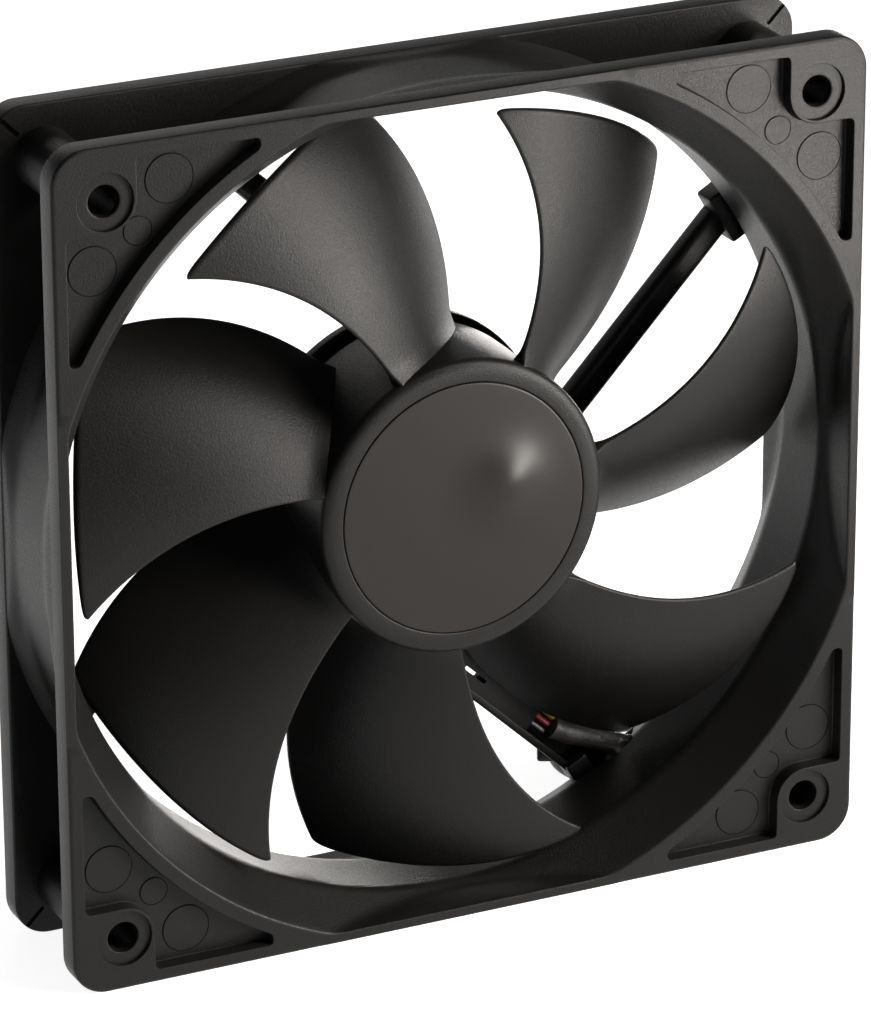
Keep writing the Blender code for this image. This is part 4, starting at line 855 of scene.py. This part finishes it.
def spun(corners, sizes, sides):
    """A closed outline of radius and depth with rounded corners, turned about the fan's axis."""
    outline = rounded(corners, sizes)
    return skin(turned_about(np.vstack([outline, outline[:1]]), sides))


base = spun([(COLLAR_BORE, COLLAR_FRONT), (COLLAR_RADIUS, COLLAR_FRONT), (COLLAR_RADIUS, BASE_FRONT),
             (BASE_RADIUS, BASE_FRONT), (BASE_RADIUS, BASE_REAR), (LABEL_SEAT_RADIUS, BASE_REAR),
             (LABEL_SEAT_RADIUS, LABEL_SEAT), (LEDGE_RADIUS, LABEL_SEAT), (LEDGE_RADIUS, TUBE_SEAT),
             (COLLAR_BORE, TUBE_SEAT)], BASE_CORNERS, BASE_SIDES)
supports = [base]
strut_place = (FRONT_FACE, -STRUT_OFFSET)
strut_end = along_strut(duct_radius(STRUT_REAR) + STRUT_SINK)
lug_turn = np.degrees(np.arctan2(-STRUT_OFFSET, along_strut(THROAT)))
strut_section = rounded(rectangle((STRUT_FRONT, -STRUT_HALF), (STRUT_REAR, STRUT_HALF)), STRUT_CORNER)
for turn in range(4):
    angle = STRUT_FIRST + 90.0 * turn
    lug_low, lug_high = -LUG_WIDTH / 2, LUG_WIDTH / 2
    if turn == CHANNEL:
        lug_high = lug_low + HALF_LUG
    else:
        supports.append(turned_bar(strut_section + strut_place, STRUT_FOOT, strut_end, STRUT_EDGE, angle))
    block = rounded(rectangle((LUG_FRONT, lug_low), (LUG_REAR, lug_high)), LUG_CORNER)
    supports.append(turned_bar(block + (FRONT_FACE, 0.0), THROAT - LUG_REACH, THROAT + LUG_SINK, LUG_CORNER,
                               angle + lug_turn))
post_end = BASE_FRONT + POST_SINK
post_profile = [(0.0, POST_FRONT), (POST_RADIUS - POST_EDGE, POST_FRONT),
                (POST_RADIUS, POST_FRONT + POST_EDGE), (POST_RADIUS, post_end), (0.0, post_end)]
for post in range(POSTS):
    centre = polar_points(POST_PITCH, np.radians(POST_FIRST + 360.0 / POSTS * post), 0.0)[[0, 2]]
    supports.append(skin(turned_about(post_profile, POST_SIDES, centre)))
piece("struts_and_base", joined(*supports), plastic)
channel_turn = STRUT_FIRST + 90.0 * CHANNEL
channel_section = rounded([
    (STRUT_FRONT, -CHANNEL_HALF), (STRUT_FRONT, -GROOVE_HALF), (GROOVE_FLOOR, -GROOVE_HALF),
    (GROOVE_FLOOR, GROOVE_HALF), (STRUT_FRONT, GROOVE_HALF), (STRUT_FRONT, CHANNEL_HALF),
    (STRUT_REAR, CHANNEL_HALF), (STRUT_REAR, -CHANNEL_HALF)], CHANNEL_CORNERS)
channel = turned_bar(channel_section + strut_place, CHANNEL_FOOT, strut_end, STRUT_EDGE, channel_turn)
wire_channel = piece("wire_channel", channel, plastic)
cover_section = rectangle((STRUT_FRONT, -COVER_HALF), (STRUT_FRONT + COVER_THICKNESS, COVER_HALF))
cover = turned_bar(cover_section + strut_place, CHANNEL_FOOT, COVER_END, COVER_THICKNESS / 2, channel_turn)
channel_cover = piece("wire_channel_cover", cover, plastic)
boot_ends = in_metres([BOOT_ROUTE[0], BOOT_ROUTE[-1]])
window_run = (boot_ends[1] - boot_ends[0])[[0, 2]]
window_turn = np.degrees(np.arctan2(window_run[1], window_run[0]))
window_start = turned_by(boot_ends[:1], -window_turn)[0]
window_low = (FRONT_FACE + WINDOW_FRONT, window_start[2] - WINDOW_WIDTH / 2)
window_high = (FRONT_FACE + GROOVE_FLOOR + WINDOW_SKIM, window_start[2] + WINDOW_WIDTH / 2)
window_end = window_start[0] + np.linalg.norm(window_run) + WINDOW_PAST_BOOT
window = turned_bar(rounded(rectangle(window_low, window_high), WINDOW_CORNER), window_start[0] - BOOT_GAP,
                    window_end, WINDOW_SKIM, window_turn)
slit_section = rectangle((STRUT_FRONT - SLIT_WIDTH, SLIT_ASIDE - SLIT_WIDTH / 2),
                         (STRUT_REAR + SLIT_WIDTH, SLIT_ASIDE + SLIT_WIDTH / 2))
slit = turned_bar(slit_section + strut_place, SLIT_START, SLIT_END, SLIT_WIDTH / 3, channel_turn)
cut(frame_shell, window)
cut(wire_channel, window)
cut(channel_cover, slit)
cut(wire_channel, slit)

# Motor Inside the hub: a laminated core with four enamelled windings between white insulators, a board
# with its driver, and a drawn steel yoke with a bonded magnet, on a ground shaft in a sintered bearing.
MOTOR_FINISHES = {
    "drawn_steel": (["rotor_yoke"], (0.36, 0.36, 0.37), (0.46, 0.46, 0.47), 0.34, 0.14, 1800.0, 4e-6,
        160.0, METAL),
    "ground_steel": (["shaft"], (0.52, 0.52, 0.53), (0.6, 0.6, 0.61), 0.2, 0.1, 2600.0, 2e-6, 300.0,
        METAL, (1.0, 0.1, 1.0)),
    "laminated_steel": (["stator_core"], (0.2, 0.2, 0.21), (0.34, 0.34, 0.35), 0.45, 0.16, 260.0, 3e-5,
        120.0, METAL, (0.1, 8.0, 0.1)),
    "bonded_magnet": (["ring_magnet"], (0.035, 0.032, 0.03), (0.06, 0.055, 0.05), 0.6, 0.14, 1600.0,
        3e-5, 200.0),
    "turned_brass": (["bearing_tube", "shaft_bush"], (0.58, 0.4, 0.16), (0.7, 0.5, 0.22), 0.27, 0.1, 900.0,
        5e-6, 220.0, METAL, (0.2, 6.0, 0.2)),
    "sintered_bronze": (["sleeve_bearing"], (0.36, 0.21, 0.1), (0.48, 0.3, 0.15), 0.5, 0.16, 3600.0,
        2e-5, 260.0, METAL),
    "enamelled_copper": (["coil_1", "coil_2", "coil_3", "coil_4"], (0.5, 0.19, 0.07), (0.66, 0.3, 0.13),
        0.3, 0.12, 420.0, 8e-5, 200.0, METAL, (0.6, 12.0, 0.6)),
    "white_nylon": (["upper_insulator", "lower_insulator", "bearing_cap", "retaining_clip", "thrust_washer"],
        (0.68, 0.67, 0.62), (0.78, 0.77, 0.73), 0.46, 0.12, 2000.0, 2e-5, 180.0),
    "board_resin": (["circuit_board"], (0.022, 0.1, 0.04), (0.035, 0.14, 0.06), 0.38, 0.12, 900.0, 1e-5,
        240.0),
    "chip_resin": (["hall_driver", "diode"], (0.014, 0.014, 0.014), (0.026, 0.026, 0.026), 0.5, 0.12,
        3000.0, 2e-5, 500.0),
    "capacitor_ceramic": (["capacitor"], (0.38, 0.24, 0.13), (0.46, 0.31, 0.18), 0.5, 0.1, 3000.0, 2e-5,
        500.0),
}
for name, (nodes, *look) in MOTOR_FINISHES.items():
    dress(nodes, finish(name, *look))

# Impeller
# One moulding of the same plastic: a deep hub cup with a rounded rim and seven sickle blades, thin at
# their edges and tips, with a small fillet where they leave the hub. It is pressed on the motor's shaft.
HUB_RADIUS, HUB_FACE, HUB_SIDES = 21.2 * MM, 2.5 * MM, 192
HUB_SEAT, HUB_INNER = 3.1 * MM, 4.0 * MM
HUB_CORNERS = np.array([0.0, 0.1, 0.25, 1.5, 0.4, 0.3, 0.8, 0.0]) * MM
SKIRT_BORE, SKIRT_END = 19.9 * MM, 20.8 * MM
LABEL_RADIUS, LABEL_GAP = 18.0 * MM, 0.12 * MM
BLADES = 7
TIP_RADIUS = 56.0 * MM
TIP_ROUNDING, TIP_SHARPNESS = 0.7 * MM, 24
LEAD_ANGLES, TRAIL_ANGLES = (10.7, 9.0, 116.5), (6.2, 17.6, 75.6)
LEAD_DEPTH, LEAD_HOLLOW = 4.1 * MM, 3.4 * MM
TRAIL_DEPTH, TRAIL_FULLNESS = 18.6 * MM, 4.6 * MM
ROOT_CAMBER, TIP_CAMBER = 2.2 * MM, 3.5 * MM
BLADE_THICKNESS, BLADE_EDGE = 1.5 * MM, 0.7 * MM
NOSE, TIP_NOSE = 0.014, 0.022
ROOT_SINK, ROOT_FILLET, ROOT_REACH = 0.6 * MM, 0.9 * MM, 0.9 * MM
CHORD_STEPS, SPAN_STEPS = 60, 54
SLOPE_STEP = 1e-4
IMPELLER_SHARP = 50.0


def blade():
    """One blade: a cambered sheet between its leading and trailing edges, given a thickness that falls
    to nothing in a half ellipse at the edges and the tip and flares at the hub.

    The first parameter runs round the section, forward along one side and back along the other; the
    second runs out from inside the hub's wall to the tip, with its steps closest at the tip."""
    turn = np.linspace(0.0, 2 * np.pi, 2 * CHORD_STEPS, endpoint=False)[:, None]
    chord = (1 - np.cos(turn)) / 2
    side = np.sign(np.sin(turn)) * (np.abs(np.sin(turn)) > SAME_POINT)
    root = HUB_RADIUS - ROOT_SINK
    tip = TIP_RADIUS - TIP_ROUNDING * np.abs(2 * chord - 1) ** TIP_SHARPNESS
    share = np.sin(np.linspace(0.0, np.pi / 2, SPAN_STEPS))[None, :]

    def sheet(chord, radius):
        span = (radius - HUB_RADIUS) / (TIP_RADIUS - HUB_RADIUS)
        lead, trail = np.polyval(LEAD_ANGLES, span), np.polyval(TRAIL_ANGLES, span)
        front = LEAD_DEPTH - LEAD_HOLLOW * span * (1 - span)
        rear = TRAIL_DEPTH + TRAIL_FULLNESS * span * (1 - span)
        camber = ROOT_CAMBER + (TIP_CAMBER - ROOT_CAMBER) * span
        angle = np.radians(lead + (trail - lead) * chord)
        depth = front + (rear - front) * chord - 4 * camber * chord * (1 - chord)
        return polar_points(radius, angle, depth)

    radius = root + (tip - root) * share
    middle = sheet(chord, radius)
    along_chord = sheet(chord + SLOPE_STEP, radius) - sheet(chord - SLOPE_STEP, radius)
    along_span = sheet(chord, radius + SLOPE_STEP * MM) - sheet(chord, radius - SLOPE_STEP * MM)
    normal = unit(np.cross(along_chord, along_span))
    edge = np.minimum(np.minimum(chord, 1 - chord) / NOSE, 1.0)
    nose = np.sqrt(1 - (1 - edge) ** 2)
    end = np.minimum((1 - share) / TIP_NOSE, 1.0)
    rounding = np.sqrt(1 - (1 - end) ** 2)
    half = (BLADE_EDGE + (BLADE_THICKNESS - BLADE_EDGE) * 4 * chord * (1 - chord)) / 2
    half = half + ROOT_FILLET * np.exp(-np.maximum(radius - HUB_RADIUS, 0.0) / ROOT_REACH)
    points = middle + (side * nose * rounding * half)[..., None] * normal
    return np.moveaxis(points, 0, 1)


hub = spun([(0.0, HUB_SEAT), (LABEL_RADIUS + LABEL_GAP, HUB_SEAT), (LABEL_RADIUS + LABEL_GAP, HUB_FACE),
            (HUB_RADIUS, HUB_FACE), (HUB_RADIUS, SKIRT_END), (SKIRT_BORE, SKIRT_END),
            (SKIRT_BORE, HUB_INNER), (0.0, HUB_INNER)], HUB_CORNERS, HUB_SIDES)
one_blade = blade()
blades = [skin(turned_by(one_blade, -360.0 / BLADES * turn)) for turn in range(BLADES)]
piece("impeller_moulding", joined(hub, *blades), plastic, ("impeller",), body="rotor", sharp=IMPELLER_SHARP)

# Hub label
# A round self-adhesive film label, left blank, that lies in the hub's shallow recess with its edge just
# clear of the rim. The film follows small swellings of the glue under it.
LABEL_FRONT, LABEL_THICKNESS = 2.5 * MM, 0.28 * MM
LABEL_RINGS, LABEL_SIDES = 70, 180
LABEL_EDGE, LABEL_EDGE_TURNS = 0.08 * MM, (30, 60, 90)
LABEL_HELD = 1.0 * MM
BLISTER_PLACE, BLISTER_RADIUS, BLISTER_HEIGHT = (6.4 * MM, 2.6 * MM), 6.2 * MM, 1.2 * MM
BLISTER_FALL = 1.6
RIPPLE_HEIGHT, RIPPLE_START = 0.008 * MM, 1.0
RIPPLE_ACROSS, RIPPLE_UP, RIPPLE_SLANT = 420, 360, (230, 310)
label_rows = np.concatenate([np.linspace(0.0, LABEL_RADIUS - LABEL_EDGE, LABEL_RINGS),
                             LABEL_RADIUS - LABEL_EDGE * (1 - np.sin(np.radians(LABEL_EDGE_TURNS)))])
label_points = turned_about([(row, LABEL_FRONT) for row in label_rows], LABEL_SIDES)
label_x, label_z = label_points[..., 0], label_points[..., 2]
away = np.hypot(label_x - BLISTER_PLACE[0], label_z - BLISTER_PLACE[1]) / BLISTER_RADIUS
swelling = BLISTER_HEIGHT * np.exp(-away ** 2 * BLISTER_FALL)
ripple = RIPPLE_HEIGHT * (np.sin(label_x * RIPPLE_ACROSS + RIPPLE_START) * np.sin(label_z * RIPPLE_UP)
                          + np.sin(label_x * RIPPLE_SLANT[0] - label_z * RIPPLE_SLANT[1]))
past_flat = np.maximum(label_rows - LABEL_RADIUS + LABEL_EDGE, 0.0) / LABEL_EDGE
edge_drop = LABEL_EDGE * (1 - np.sqrt(np.clip(1 - past_flat ** 2, 0.0, 1.0)))[:, None]
fade = np.clip((LABEL_RADIUS - label_rows) / LABEL_HELD, 0.0, 1.0)[:, None]
label_points[..., 1] += edge_drop - (swelling + ripple) * fade
label_back = LABEL_FRONT + LABEL_THICKNESS
label_back = turned_about([(LABEL_RADIUS, label_back), (0.0, label_back)], LABEL_SIDES)
label_film = finish("label_film", (0.011, 0.009, 0.008), (0.015, 0.0125, 0.011), 0.3, 0.015, 900.0,
                    3e-6, 60.0, specular=0.24)
piece("hub_label_film", skin(np.vstack([label_points, label_back])), label_film, ("hub_label",),
      "rotor")

# Rear label
# A small round film label, left blank, stuck in the shallow seat at the back of the motor base. It is of
# the same film as the hub's.
dress(["rear_label"], label_film)
